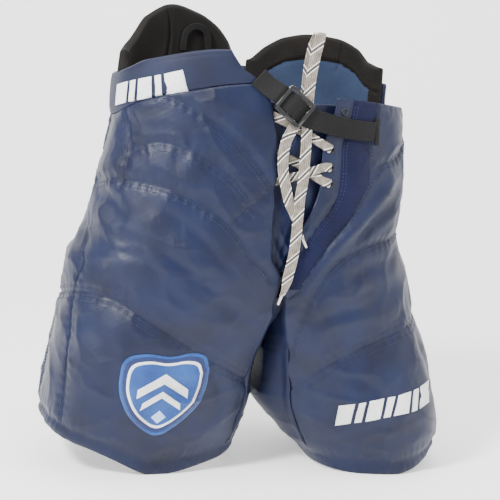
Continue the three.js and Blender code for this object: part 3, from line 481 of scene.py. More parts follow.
# %% A point of the outer face, and the heights of cut, hem and waist seam
def surface(half, u, z, inwards=0.0):
    u, z, inwards = np.broadcast_arrays(*(np.asarray(v, float) for v in (u, z, inwards)))
    side = (u > 1).astype(int)
    t = np.clip(u - side, 0, 1) * (SAMPLES - 1)
    j = np.minimum(t.astype(int), SAMPLES - 2)
    f = t - j
    k = np.clip(z / 2.0, 0, len(LEVELS) - 1.001)
    i = k.astype(int)
    g = k - i

    def read(table):
        low = mix(table[side, i, j], table[side, i, j + 1], f)
        high = mix(table[side, i + 1, j], table[side, i + 1, j + 1], f)
        return mix(low, high, g)

    angle, r = read(half["angle"]), read(half["radius"]) - inwards
    cx = mix(half["cx"][i], half["cx"][i + 1], g)
    cy = mix(half["cy"][i], half["cy"][i + 1], g)
    return np.stack([half["sign"] * (cx + r * np.cos(angle)), cy + r * np.sin(angle), z], axis=-1)


def cut_height(half, u, inwards=0.0):
    u = np.asarray(u, float)
    z = np.full(u.shape, PIVOT_Z - SWING_RADIUS * 0.6)
    for _ in range(14):
        y = surface(half, u, z, inwards)[..., 1] - PIVOT_Y
        z = mix(z, PIVOT_Z - np.sqrt(np.maximum(0, SWING_RADIUS**2 - y * y)), 0.7)
    return z


def hem_height(half, u):
    p = surface(half, u, 30)
    k = 15
    c = np.cos(np.arctan2(p[..., 1] - half["cy"][k], half["sign"] * p[..., 0] - half["cx"][k]))
    rise = np.where(c > 0, half["hem"]["outer_rise"] * np.abs(c) ** 1.53, half["hem"]["inner_rise"] * c * c)
    return np.maximum(0, rise - HEM_FLAT)


def seam_top(half, u):
    return curve(half["seam_top"], u)


def front_y(x, z):
    x, z = np.broadcast_arrays(np.asarray(x, float), np.asarray(z, float))
    return -np.where(x < CENTRE_X, ring_depth(right, np.abs(x), z, -1), ring_depth(left, np.abs(x), z, -1))


hinge = next(j for j in frame["joints"] if j["name"] == "right_leg_swing")
saddle_low, saddle_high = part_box("crotch_gusset")
SHIFT = np.array(
    [(saddle_low.x + saddle_high.x) / 2 - CENTRE_X * MM, hinge["pos_m"][1] - PIVOT_Y * MM, 0.0]
)


def place(points):
    """Part millimetres to row-frame metres."""
    return np.asarray(points, float) * MM + SHIFT


def length_at(half, z):
    """Length of the outer side from the fly edge to the back seam, in mm."""
    return np.interp(z, LEVELS, half["length"][0])


print("part to row frame, mm:", [round(float(v) / MM, 3) for v in SHIFT])


# %% [markdown]
# ## Mesh helpers
# Every cloth piece starts as a bmesh grid. Its points are moved onto the surface, and an
# attribute keeps how far each lies along the cloth, for the weave. Straps, laces and cords
# are grids rolled into a flattened tube round a route.

# %% Grid and sweep helpers
def finish_mesh(name, bm, finishes):
    """Turns a bmesh into a smooth-shaded object at the origin."""
    bmesh.ops.recalc_face_normals(bm, faces=bm.faces[:])
    mesh = bpy.data.meshes.new(name)
    bm.to_mesh(mesh)
    bm.free()
    for finish in finishes:
        mesh.materials.append(finish)
    mesh.shade_smooth()
    made = bpy.data.objects.new(name, mesh)
    bpy.context.scene.collection.objects.link(made)
    return made


def start():
    """A new bmesh whose points can keep their place along the cloth, and their u and z."""
    bm = bmesh.new()
    bm.verts.layers.float_vector.new("cloth")
    bm.verts.layers.float.new("u")
    bm.verts.layers.float.new("z")
    return bm


def set_points(verts, points):
    for vert, point in zip(verts, points):
        vert.co = point


def lay_grid(bm, columns, rows):
    """Adds a grid and returns its vertices with their two shares, 0 to 1."""
    made = bmesh.ops.create_grid(bm, x_segments=columns, y_segments=rows, size=0.5)
    verts = made["verts"]
    shares = np.array([v.co[:2] for v in verts])
    low, high = shares.min(0), shares.max(0)
    shares = (shares - low) / (high - low)
    return verts, shares[:, 0], shares[:, 1]


def mark_cloth(bm, verts, along, over):
    """Stores the place along the cloth, given in mm, as metres."""
    layer = bm.verts.layers.float_vector["cloth"]
    for vert, a, b in zip(verts, along, over):
        vert[layer] = (a * MM, b * MM, 0.0)


def catmull(points, step):
    """Dense points on a smooth curve through a route, about step apart."""
    p = np.asarray(points, float)
    p = np.vstack([2 * p[0] - p[1], p, 2 * p[-1] - p[-2]])
    out = []
    for k in range(1, len(p) - 2):
        t = [0.0]
        for i in range(3):
            t.append(t[-1] + max(np.linalg.norm(p[k + i] - p[k + i - 1]) ** 0.5, 1e-6))
        count = max(2, int(np.ceil(np.linalg.norm(p[k + 1] - p[k]) / step)))
        for q in np.linspace(t[1], t[2], count, endpoint=False):
            a1 = mix(p[k - 1], p[k], (q - t[0]) / (t[1] - t[0]))
            a2 = mix(p[k], p[k + 1], (q - t[1]) / (t[2] - t[1]))
            a3 = mix(p[k + 1], p[k + 2], (q - t[2]) / (t[3] - t[2]))
            b1 = mix(a1, a2, (q - t[0]) / (t[2] - t[0]))
            b2 = mix(a2, a3, (q - t[1]) / (t[3] - t[1]))
            out.append(mix(b1, b2, (q - t[1]) / (t[2] - t[1])))
    out.append(p[-2])
    return np.array(out)


def unit(v):
    return v / np.maximum(np.linalg.norm(v, axis=-1, keepdims=True), 1e-12)


def sweep(name, path, side, width, thick, finishes, columns=20, square=0.3, taper=None, warp=None):
    """A flattened tube round a path in mm. side is the width's direction, square its corner shape."""
    path = np.asarray(path, float)
    tangent = unit(np.gradient(path, axis=0))
    side = np.broadcast_to(np.asarray(side, float), path.shape)
    side = unit(side - (side * tangent).sum(1, keepdims=True) * tangent)
    normal = np.cross(tangent, side)
    run = np.concatenate([[0], np.cumsum(np.linalg.norm(np.diff(path, axis=0), axis=1))])
    rows = len(path) - 1
    bm = start()
    verts, a, b = lay_grid(bm, columns, rows)
    k = np.clip(np.round(b * rows).astype(int), 0, rows)
    angle = a * 2 * np.pi
    c, s = np.cos(angle), np.sin(angle)
    x = np.sign(c) * np.abs(c) ** square * width / 2
    y = np.sign(s) * np.abs(s) ** square * thick / 2
    if taper is not None:
        x = x * taper(run[k] / run[-1])
    if warp is not None:
        y = y + warp(run[k], x)
    points = path[k] + side[k] * x[:, None] + normal[k] * y[:, None]
    set_points(verts, place(points))
    mark_cloth(bm, verts, run[k], x)
    bmesh.ops.remove_doubles(bm, verts=bm.verts[:], dist=0.02 * MM)
    bmesh.ops.holes_fill(bm, edges=[e for e in bm.edges if e.is_boundary], sides=0)
    made = finish_mesh(name, bm, finishes)
    print(f"{name}: {run[-1]:.1f} mm long, {len(made.data.polygons)} faces")
    return made


# %% [markdown]
# ## The free lace
# The lace is loose: from the knot behind the buckle it stands up in a doubled end, folds over
# and hangs down the front to a tip, and its other end hangs a shorter way. Its whole length is
# in view. It is 14 mm wide and 1.6 mm thick, woven flat, so it is a mesh tube swept along its
# route.

# %% Free lace
LACE_THICK = 1.6
FRONT_LAYER, BACK_LAYER = -6.4, -4.3
LACE_LONG = [
    (16, 463, -0.6), (19, 476, 1.5), (21, 496, 3.5), (23, 518, 5), (26, 538, 6), (30, 554, 5.5),
    (33, 564, 0.5), (32, 564, -6.5), (29, 553, -9), (26, 538, -9), (23, 520, -8.5), (21, 500, -8),
    (20, 478, -7.2), (20, 456, FRONT_LAYER), (20, 434, FRONT_LAYER), (19, 410, FRONT_LAYER),
    (18, 386, FRONT_LAYER), (15, 364, FRONT_LAYER), (14, 344, FRONT_LAYER), (13, 322, FRONT_LAYER),
    (12, 303, FRONT_LAYER), (10, 284, -6), (7, 266, -5), (4, 250, -4), (2, 240, -3.4),
]
LACE_SHORT = [
    (11, 462, -2.7), (3, 449, BACK_LAYER), (-4, 436, BACK_LAYER), (-8, 421, BACK_LAYER),
    (-9, 405, BACK_LAYER), (-7, 390, BACK_LAYER), (-3, 374, BACK_LAYER), (1, 360, BACK_LAYER),
    (6, 346, -4.5), (12, 333, -4.3), (18, 322, -4), (23, 313, -3.6),
]


def on_front(route):
    """Route points (x, z, depth below the outer face) to part millimetres."""
    x, z, depth = np.array(route, float).T
    return np.stack([x, front_y(x, z) + depth, z], axis=1)


def lace(name, route, taper_from, taper_over, small, tip):
    path = catmull(on_front(route), 4.0)
    made = sweep(
        name,
        path,
        (1, 0, 0),
        LACE_WIDTH / MM,
        LACE_THICK,
        [lace_cloth],
        columns=24,
        square=0.45,
        taper=lambda t: mix(1, small, smooth((t - taper_from) / taper_over)),
        warp=lambda along, over: 0.25 * np.sin(along / 5.3) * np.cos(over / 2.2),
    )
    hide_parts(name)
    frame["nodes"][tip].data.materials.clear()
    frame["nodes"][tip].data.materials.append(tip_film)
    return made, place(path)


long_lace, long_path = lace("lace_end_long", LACE_LONG, 0.94, 0.06, 0.45, "lace_tip_long")
short_lace, short_path = lace("lace_end_short", LACE_SHORT, 0.62, 0.3, 0.36, "lace_tip_short")


BEND_TOP, BEND_FOOT = (0.0, 0.0, 0.305), (0.0, 0.0, 0.175)
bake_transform(long_lace, "upper", "left_leg", BEND_TOP, BEND_FOOT)
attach(short_lace, "upper")

# %% [markdown]
# ## How the padded cloth is shaped
# Cloth over foam swells between its seams and dips at each one. The relief below is added to
# the plain outer face: a swell that grows with the distance from the nearest seam, a groove
# along it with small puckers, a few long drawn folds and a fine crumple. Sculpting by hand
# would give the same, but could not be rerun. It is written in mm, outwards.

# %% Smooth noise
lattice = np.random.default_rng(11).random((64, 64))


def noise(x, y):
    """Smooth value noise from -1 to 1, with cells of size 1."""
    xi, yi = np.floor(x).astype(int), np.floor(y).astype(int)
    fx, fy = smooth(x - xi), smooth(y - yi)
    top = mix(lattice[xi % 64, yi % 64], lattice[(xi + 1) % 64, yi % 64], fx)
    low = mix(lattice[xi % 64, (yi + 1) % 64], lattice[(xi + 1) % 64, (yi + 1) % 64], fx)
    return mix(top, low, fy) * 2 - 1


# %% Seams: a (u, z) route, the groove's depth and the gap to a second row of stitches, in mm
RIGHT_SEAMS = [
    ([(0.3, 480), (0.239, 474), (0.15, 448), (0.072, 414), (0.011, 378)], 2.2, 6),
    ([(0.35, 412), (0.289, 422), (0.217, 414), (0.117, 388), (0.033, 342)], 1.2, 7),
    ([(0.5, 362), (0.4, 372), (0.289, 370), (0.2, 356),
      (0.117, 332), (0.067, 304), (0.02, 262)], 2.6, 5),
    ([(0.011, 372), (0.106, 328)], 1.6, 0),
    ([(0.4, 462), (0.389, 446), (0.367, 408), (0.372, 366)], 1.8, 5),
    ([(0.444, 290), (0.437, 230), (0.42, 160), (0.4, 70)], 2, 0),
    ([(0.56, 215), (0.433, 230), (0.339, 228), (0.228, 196), (0.106, 156), (0, 124)], 2.4, 7),
    ([(0.5, 470), (0.53, 380), (0.56, 290), (0.56, 215), (0.55, 70)], 2, 5),
    ([(0.53, 400), (0.7, 385), (0.86, 392), (1, 402)], 2, 6),
    ([(0.56, 215), (0.7, 190), (0.86, 176), (1, 170)], 2.2, 7),
]
LEFT_SEAMS = [
    ([(0.16, 478), (0.155, 430), (0.167, 386), (0.128, 336),
      (0.089, 292), (0.033, 248), (0, 235)], 2.2, 0),
    ([(0.36, 440), (0.311, 418), (0.217, 406), (0.167, 390)], 2.2, 5),
    ([(0.5, 330), (0.42, 320), (0.333, 310), (0.167, 292),
      (0.083, 254), (0.033, 208), (0, 160)], 2.6, 5),
    ([(0.52, 214), (0.394, 204), (0.217, 182), (0.089, 150), (0, 112)], 2.4, 7),
    ([(0.06, 480), (0.06, 420), (0.06, 360), (0.03, 300)], 1.6, 4),
    ([(0.5, 468), (0.53, 380), (0.54, 290), (0.52, 214), (0.52, 70)], 2, 5),
    ([(0.53, 400), (0.7, 385), (0.86, 392), (1, 402)], 2, 6),
    ([(0.52, 214), (0.7, 190), (0.86, 176), (1, 170)], 2.2, 7),
]


def flat(half, u, z):
    """Place along the cloth in mm: distance round from the fly edge, and height."""
    return np.stack([np.asarray(u) * length_at(half, z), np.asarray(z, float)], axis=-1)


def dense_route(half, route, step=3.0):
    """The route as points along the cloth, about step apart, on a smooth curve."""
    p = flat(half, *np.array(route, float).T)
    return catmull(np.column_stack([p, np.zeros(len(p))]), step)[:, :2]


for half, seams in ((right, RIGHT_SEAMS), (left, LEFT_SEAMS)):
    half["seams"] = [(dense_route(half, route), groove, double) for route, groove, double in seams]
print("seams:", len(RIGHT_SEAMS), "right,", len(LEFT_SEAMS), "left")


def nearest(line, points):
    """Distance from each point to a dense line, and how far along the line it is."""
    best = np.full(len(points), 1e9)
    where = np.zeros(len(points))
    run = np.concatenate([[0], np.cumsum(np.linalg.norm(np.diff(line, axis=0), axis=1))])
    for k, (p, q) in enumerate(zip(line[:-1], line[1:])):
        d = q - p
        t = np.clip((points - p) @ d / (d @ d), 0, 1)
        gap = np.linalg.norm(points - p - t[:, None] * d, axis=1)
        closer = gap < best
        best = np.where(closer, gap, best)
        where = np.where(closer, mix(run[k], run[k + 1], t), where)
    return best, where


# %% Drawn folds, as (u, z) routes with a height in mm and a half width in mm
RIGHT_FOLDS = [
    ([(0.50, 356), (0.44, 350), (0.383, 340), (0.333, 318)], -7.0, 13.0),
    ([(0.48, 385), (0.40, 388), (0.34, 384)], 2.6, 12.0),
    ([(0.30, 352), (0.22, 330), (0.15, 300), (0.10, 262)], -2.2, 9.0),
    ([(0.12, 372), (0.07, 350), (0.03, 318)], -1.8, 6.0),
    ([(0.26, 300), (0.18, 262), (0.10, 226), (0.04, 205)], -2.4, 10.0),
    ([(0.36, 300), (0.30, 262), (0.26, 236)], 2.4, 14.0),
    ([(0.40, 205), (0.33, 176), (0.30, 140)], -2.0, 10.0),
    ([(0.10, 148), (0.07, 110), (0.08, 60)], -2.2, 9.0),
    ([(0.24, 180), (0.17, 160), (0.12, 118)], 2.0, 12.0),
    ([(0.06, 470), (0.05, 440), (0.035, 400)], 2.4, 8.0),
    ([(0.20, 432), (0.24, 400), (0.23, 372)], -1.5, 8.0),
    ([(0.62, 350), (0.75, 330), (0.88, 345)], -3.0, 12.0),
    ([(0.6, 300), (0.75, 270), (0.95, 262)], -3.0, 14.0),
]
LEFT_FOLDS = [
    ([(0.111, 286), (0.156, 324), (0.211, 360), (0.27, 392)], 4.0, 11.0),
    ([(0.17, 300), (0.22, 330), (0.30, 360)], -3.0, 9.0),
    ([(0.36, 300), (0.30, 280), (0.22, 272), (0.15, 250)], -2.4, 9.0),
    ([(0.40, 380), (0.34, 350), (0.30, 322)], -2.2, 9.0),
    ([(0.09, 238), (0.16, 250), (0.26, 262)], 2.6, 10.0),
    ([(0.05, 200), (0.12, 216), (0.24, 226)], -2.4, 8.0),
    ([(0.34, 250), (0.28, 224), (0.20, 208)], 2.2, 10.0),
    ([(0.12, 140), (0.18, 120), (0.22, 84)], -1.8, 9.0),
    ([(0.36, 196), (0.34, 160), (0.36, 122)], -2.2, 10.0),
    ([(0.04, 130), (0.06, 96), (0.05, 50)], -1.8, 8.0),
    ([(0.62, 350), (0.75, 330), (0.88, 345)], -3.0, 12.0),
    ([(0.6, 300), (0.75, 270), (0.95, 262)], -3.0, 14.0),
]
right["folds"] = [(dense_route(right, r, 6.0), h, w) for r, h, w in RIGHT_FOLDS]
left["folds"] = [(dense_route(left, r, 6.0), h, w) for r, h, w in LEFT_FOLDS]

# %% The relief of one half
SWELL, SWELL_REACH = 5.5, 26.0
# x and z ranges of the front that lie flat under straps, lace and eyelets, and a reach to fade over.
FLAT_AREAS = [(-50, 135, 432, 512, 22), (-14, 26, 228, 420, 16), (45, 66, 372, 476, 12)]


def relief(half, u, z):
    """Outward height of the cloth over the plain outer face, in mm."""
    u, z = (np.asarray(v, float).ravel() for v in np.broadcast_arrays(u, z))
    p = flat(half, np.minimum(u, 1), z)
    near = np.full(len(u), 60.0)
    out = np.zeros(len(u))
    for line, groove, double in half["seams"]:
        gap, run = nearest(line, p)
        near = np.minimum(near, gap)
        out -= groove * np.exp(-((gap / 2.6) ** 2))
        out += 0.5 * np.sin(run / 1.9 + 2.0 * noise(run / 40, 0 * run)) * np.exp(-(((gap - 5) / 6) ** 2))
        if double:
            out -= 0.5 * groove * np.exp(-(((gap - double) / 1.8) ** 2))
    inner = smooth((u - 1.0) / 0.06) * smooth((2.0 - u) / 0.06)
    hem = hem_height(half, u) + 16
    edges = np.stack([z - hem, seam_top(half, np.minimum(u, 1)) - z, np.where(z > 265, u * 600, 60.0)])
    near = np.minimum(near, np.maximum(edges.min(0), 0))
    swell = SWELL * (1 - np.exp(-near / SWELL_REACH))
    out += swell * (1 - inner)
    for line, height, width in half["folds"]:
        gap, run = nearest(line, p)
        total = np.linalg.norm(np.diff(line, axis=0), axis=1).sum()
        ends = np.clip(np.minimum(run, total - run) / 30, 0, 1) ** 0.7
        out += height * ends * np.exp(-((gap / width) ** 2))
        out -= 0.35 * height * ends * np.exp(-(((gap - 1.7 * width) / width) ** 2))
    s, h = p[:, 0], z
    skew = s + 0.6 * h
    warp = 14 * noise(s / 70 + 5, h / 70)
    out += 1.5 * noise(s / 75, h / 95 + 3)
    out += 1.4 * noise((skew + warp) / 34, (h - 0.3 * s) / 80 + 9)
    crease = 1 - np.abs(noise((s - 0.5 * h + warp) / 42 + 20, (h + 0.2 * s) / 34))
    out += 1.9 * (crease**4 - 0.35)
    crumple = 1 - np.abs(noise((s + warp) / 17 + 40, (h - 0.4 * s) / 23))
    out += 0.8 * (crumple**3 - 0.4)
    gather = np.exp(-(((z - hem) / 5) ** 2))
    out -= 1.9 * gather
    ripple = np.sin(s / 1.55 + 2.4 * noise(s / 22, h * 0)) * smooth((hem + 26 - z) / 20)
    out += 0.55 * ripple * smooth((z - hem + 17) / 4)
    out -= 1.6 * smooth((hem - 11 - z) / 5)
    # The cloth lies on the guards, so it sinks no deeper than 2.6 mm.
    return np.where(out < -1.4, -1.4 - 1.2 * np.tanh((-1.4 - out) / 3), out)


def quiet(x, z, low_x, high_x, low_z, high_z, reach):
    """1 inside a front rectangle, falling to 0 at reach outside it."""
    gap = np.maximum(np.maximum(low_x - x, x - high_x), np.maximum(low_z - z, z - high_z))
    return smooth(1 - gap / reach)


def skin(half, u, z, lift=0.0):
    """Part-mm points on the shaped cloth, lift mm above it. It lies low under strap and lace."""
    u, z = np.broadcast_arrays(np.asarray(u, float), np.asarray(z, float))
    height = relief(half, u, z).reshape(u.shape)
    plain = surface(half, u, z)
    x, y = plain[..., 0], plain[..., 1]
    front = smooth((-y - 60) / 20)
    under = np.maximum.reduce([quiet(x, z, *area) for area in FLAT_AREAS]) * front
    height = np.where(height > 0.9, mix(height, 0.9, under), height)
    return surface(half, u, z, -(height + lift))


# %% [markdown]
# ## The two padded halves
# Each half is sewn from nylon outside and black spacer mesh inside, with foam and guards
# between. One closed form does it: a grid for the body and outer leg and a grid for the inner
# leg are welded, then the whole face is extruded and its copy is moved inwards as the lining.
# The extrude closes the hem, the fly edge and the top by itself. The cloth crosses the hip
# line, so it bends between the body and the leg.

# %% Build one half
COLUMNS, LEG_ROWS, BODY_ROWS, INNER_COLUMNS = 200, 84, 76, 70


FLAP_CORNER_Z, FLAP_RISE = 494, 150
STRETCH_EDGE = ([235, 248, 292, 336, 386, 430, 478], [0, 0.033, 0.089, 0.128, 0.167, 0.155, 0.16])
STRETCH_FRONT = ([248, 300, 360], [0.0, 0.03, 0.06])
HEM_HEIGHT = 15


def shell_top(half, u):
    """Top of the cloth: the waist seam, but the right flap's free corner is cut away."""
    top = seam_top(half, u) - SEAT
    return np.minimum(top, FLAP_CORNER_Z + u * FLAP_RISE) if half is right else top


def lining_depth(half, u, z):
    """How far the lining lies inside the outer face: thin at the fly, the hem and the top."""
    wrapped = np.where(u > 1.5, 2 - u, u)
    fly = smooth((wrapped - 0.10) / 0.09)
    legs = smooth((255 - z) / 50)
    above_hem = smooth((z - hem_height(half, u)) / 34)
    front_top = smooth((seam_top(half, np.minimum(u, 1)) - 22 - z) / 45)
    top = np.where(u < 0.46, front_top, 1.0)
    return 3 + 17.5 * np.maximum(fly, legs) * mix(0.12, 1, above_hem) * np.maximum(top, 0.02)


def half_finish(half, u, z):
    """Which finish a face has: 0 nylon, 1 lining, 2 hem cloth, 3 stretch knit."""
    if z < float(hem_height(half, np.array(u))) + HEM_HEIGHT:
        return 2
    if half is left and u <= 1:
        edge, front = np.interp(z, *STRETCH_EDGE), np.interp(z, *STRETCH_FRONT)
        if front < u < edge and z > STRETCH_FRONT[0][0]:
            return 3
    return 0


def build_half(name, half, nodes):
    bm = start()
    key_u, key_z = bm.verts.layers.float["u"], bm.verts.layers.float["z"]
    split = LEG_ROWS / (LEG_ROWS + BODY_ROWS)
    verts, a, b = lay_grid(bm, COLUMNS, LEG_ROWS + BODY_ROWS)
    crotch = mix(*cut_height(half, np.array([0.0, 1.0])), a)
    low = mix(hem_height(half, a), crotch, np.minimum(b / split, 1))
    high = mix(crotch, shell_top(half, a), clamp01((b - split) / (1 - split)))
    z = np.where(b < split, low, high)
    inner, c, d = lay_grid(bm, INNER_COLUMNS, LEG_ROWS)
    inner_u = 1 + c
    inner_z = mix(hem_height(half, inner_u), cut_height(half, inner_u), d)
    u = np.concatenate([a, inner_u])
    z = np.concatenate([z, inner_z])
    every = list(verts) + list(inner)
    for vert, p, q in zip(every, u, z):
        vert[key_u], vert[key_z] = p, q
    set_points(every, place(skin(half, u, z)))
    mark_cloth(bm, every, *flat(half, u, z).T)
    bmesh.ops.remove_doubles(bm, verts=bm.verts[:], dist=0.4 * MM)
    # Finishes go on before the extrude, so that the rim takes its neighbour's.
    for face in bm.faces:
        mean_u = sum(v[key_u] for v in face.verts) / len(face.verts)
        mean_z = sum(v[key_z] for v in face.verts) / len(face.verts)
        face.material_index = half_finish(half, mean_u, mean_z)
    made = bmesh.ops.extrude_face_region(bm, geom=bm.faces[:], use_keep_orig=True)
    inside = [g for g in made["geom"] if isinstance(g, bmesh.types.BMVert)]
    iu = np.array([v[key_u] for v in inside])
    iz = np.array([v[key_z] for v in inside])
    depth = lining_depth(half, iu, iz)
    quilt = 0.9 * np.cos(iz / 9.5) * np.cos(np.minimum(iu, 1) * length_at(half, iz) / 9.5)
    set_points(inside, place(surface(half, iu, iz, depth + quilt * smooth((depth - 8) / 6))))
    for face in made["geom"]:
        if isinstance(face, bmesh.types.BMFace):
            face.material_index = 1
    piece = finish_mesh(name, bm, [nylon, inner_mesh, hem_nylon, stretch])
    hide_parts(*nodes)
    leg = "right_leg" if half is right else "left_leg"
    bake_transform(piece, "upper", leg, BEND_TOP, BEND_FOOT)
    print(f"{name}: {len(piece.data.vertices)} points, {len(piece.data.polygons)} faces")


SHARED = ("hip_shell", "hip_liner", "hip_pad", "thigh_shell", "hem_band", "leg_liner", "thigh_pad")
build_half("right_padded_half", right, ["right_" + n for n in SHARED])
build_half(
    "left_padded_half",
    left,
    ["left_" + n for n in SHARED] + ["left_eyelet_strip", "left_stretch_panel"],
)


# %% [markdown]
# ## Waistband and back pads
# The waistband is a flat foam-filled band. The two back pads rise behind it and are seen over
# the front, so their inner faces matter most: the right one is all smooth neoprene, and the
# left one has a mesh rim round a brushed blue lining. Each is a grid on its own layer, swollen
# and rounded towards its edges, and extruded to its thickness.

# %% A padded layer between two heights
def edge_drop(near, reach):
    """How far a rounded edge falls away at a distance from it."""
    t = np.clip(1 - near / reach, 0, 1)
    return reach * (1 - np.sqrt(1 - t * t))


def padded_layer(
    name, half, span, bottom, top, depths, size, finishes, swell=1.5, roll=3.0, outer=None, inner=None
):
    """A grid over span of u and bottom to top of z. depths are those of its two faces, in mm."""
    bm = start()
    key_u, key_z = bm.verts.layers.float["u"], bm.verts.layers.float["z"]
    verts, a, b = lay_grid(bm, *size)
    u = mix(span[0], span[1], a)
    low, high = bottom(u), top(u)
    z = mix(low, high, b)
    for vert, p, q in zip(verts, u, z):
        vert[key_u], vert[key_z] = p, q
    mark_cloth(bm, verts, *flat(half, u, z).T)
    made = bmesh.ops.extrude_face_region(bm, geom=bm.faces[:], use_keep_orig=True)
    copies = {g for g in made["geom"] if isinstance(g, bmesh.types.BMVert)}
    for group, depth, sign, shape in ((verts, depths[0], 1, outer), (list(copies), depths[1], -1, inner)):
        gu = np.array([v[key_u] for v in group])
        gz = np.array([v[key_z] for v in group])
        length = length_at(half, gz)
        sides = [(gu - span[0]) * length, (span[1] - gu) * length]
        near = np.maximum(np.minimum.reduce([gz - bottom(gu), top(gu) - gz, *sides]), 0)
        lift = swell * (1 - np.exp(-near / 12)) - edge_drop(near, roll)
        if shape is not None:
            lift = lift + shape(gu, gz, near)
        set_points(group, place(surface(half, gu, gz, depth - sign * lift)))
    for face in bm.faces:
        inside = all(v in copies for v in face.verts)
        if inside and len(finishes) > 1:
            mid_u = sum(v[key_u] for v in face.verts) / 4
            mid_z = sum(v[key_z] for v in face.verts) / 4
            gap = float(top(np.array(mid_u))) - mid_z
            face.material_index = 1 if gap > LINING_RIM and span[0] + 0.05 < mid_u < 0.97 else 0
    made_piece = finish_mesh(name, bm, finishes)
    print(f"{name}: {len(made_piece.data.polygons)} faces")
    return made_piece


# %% Waistband
BAND_THICK = 6.5
RIGHT_BAND = [[0, 39], [0.3, 41], [0.5, 52], [1, 50]]
LEFT_BAND = [[0.48, 34], [0.62, 46], [1, 50]]


def band_shape(u, z, near):
    """A dip along the top and bottom stitching and slight drawn waves."""
    s = u * 600
    dips = -0.9 * np.exp(-(((near - 4.5) / 1.5) ** 2))
    return dips + 0.7 * noise(s / 38 + 2, z / 30) + 0.35 * noise(s / 13, z / 24 + 7) * np.exp(-near / 9)


BAND_OVERLAP = 0.5


def waistband(side, half, first_u, heights, size):
    piece = padded_layer(
        f"{side}_waistband_cloth",
        half,
        (first_u, 1.0),
        lambda u: seam_top(half, u) - BAND_OVERLAP,
        lambda u: seam_top(half, u) + curve(heights, u),
        (0.0, BAND_THICK),
        size,
        [band_cloth],
        outer=band_shape,
    )
    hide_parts(f"{side}_waistband")
    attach(piece, "upper")


waistband("right", right, 0.0, RIGHT_BAND, (220, 20))
waistband("left", left, 0.48, LEFT_BAND, (120, 18))

# %% Back pads
LINING_RIM = 33
BASE_DROP = 11
LOBE_FOLD_FROM, LOBE_FOLD_TO = (0, 0, 0.502), (0, 0, 0.532)
LOBE_OUT, LOBE_IN = BAND_THICK + 0.8, BAND_THICK + 0.8 + 11
RIGHT_LOBE = [
    [0.48, 528], [0.555, 542], [0.625, 574], [0.74, 590], [0.85, 581], [0.925, 566], [0.97, 548], [1, 528],
]
LEFT_LOBE = [
    [0.48, 525], [0.55, 531], [0.6, 548], [0.68, 560], [0.78, 563], [0.87, 557], [0.93, 545], [1, 524],
]


def right_pad_shape(u, z, near):
    """A fold that runs down from the top edge, and soft dents."""
    s = u * 600
    fold = nearest(np.array([(414, 592), (430, 572), (440, 545), (444, 520)]), np.stack([s, z], axis=-1))[0]
    crease = -2.4 * np.exp(-((fold / 4) ** 2)) + 1.3 * np.exp(-(((fold - 9) / 6) ** 2))
    return crease + 0.8 * noise(s / 45, z / 40)


def left_pad_shape(u, z, near):
    """The rim swells off the lining, with a stitched groove between and a crease across the rim."""
    s = u * 600
    gap = curve(LEFT_LOBE, u) - z
    rim = 1.6 * smooth((LINING_RIM - gap) / 5) - 1.5 * np.exp(-(((gap - LINING_RIM) / 2.2) ** 2))
    crease = nearest(np.array([(392, 556), (396, 536), (402, 518)]), np.stack([s, z], axis=-1))[0]
    crumple = 0.9 * noise(s / 12, z / 14 + 3) * smooth((0.62 - u) / 0.06)
    return rim - 1.8 * np.exp(-((crease / 3) ** 2)) + 0.9 * noise(s / 42 + 8, z / 36) + crumple


def back_pad(side, half, lobe, rows, finishes, roll, shape, lining=()):
    piece = padded_layer(
        f"{side}_back_pad_cover",
        half,
        (0.48, 1.0),
        lambda u: seam_top(half, u) - BASE_DROP,
        lambda u: curve(lobe, u),
        (LOBE_OUT, LOBE_IN),
        (130, rows),
        finishes,
        swell=1.0,
        roll=roll,
        inner=shape,
    )
    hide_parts(f"{side}_back_pad", f"{side}_lobe_pad", *lining)
    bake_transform(piece, "upper", f"{side}_lobe", LOBE_FOLD_FROM, LOBE_FOLD_TO)


back_pad("right", right, RIGHT_LOBE, 56, [neoprene], 5.0, right_pad_shape)
lined = [rim_mesh, lining_cloth]
back_pad("left", left, LEFT_LOBE, 44, lined, 4.0, left_pad_shape, lining=["left_back_lining"])

# %% Hanger loop
HANGER = [(-84, 530), (-84, 542), (-80, 556), (-68, 563), (-54, 558), (-49, 544), (-48, 530)]
hx, hz = np.array(HANGER, float).T
hanger_path = catmull(
    np.stack([hx, ring_depth(right, np.abs(hx), hz, 1) - LOBE_IN - 3.4, hz], axis=1), 1.6
)
hanger_side = np.cross(unit(np.gradient(hanger_path, axis=0)), np.array([0.0, 1.0, 0.0]))
hanger = sweep("hanger_webbing", hanger_path, hanger_side, 9.0, 1.8, [webbing], columns=16)
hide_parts("hanger_loop")
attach(hanger, "hanger")


# %% [markdown]
# ## Fly gusset, lacing and eyelets
# Behind the open fly a loose nylon gusset is crumpled into deep folds. Lace crossings run
# through black eyelets in front of it. The gusset is a grid on the front face, and each
# crossing is a flat woven band like the free ends.

# %% Front panels
FLAP_TAPE_DEPTH = 8.0


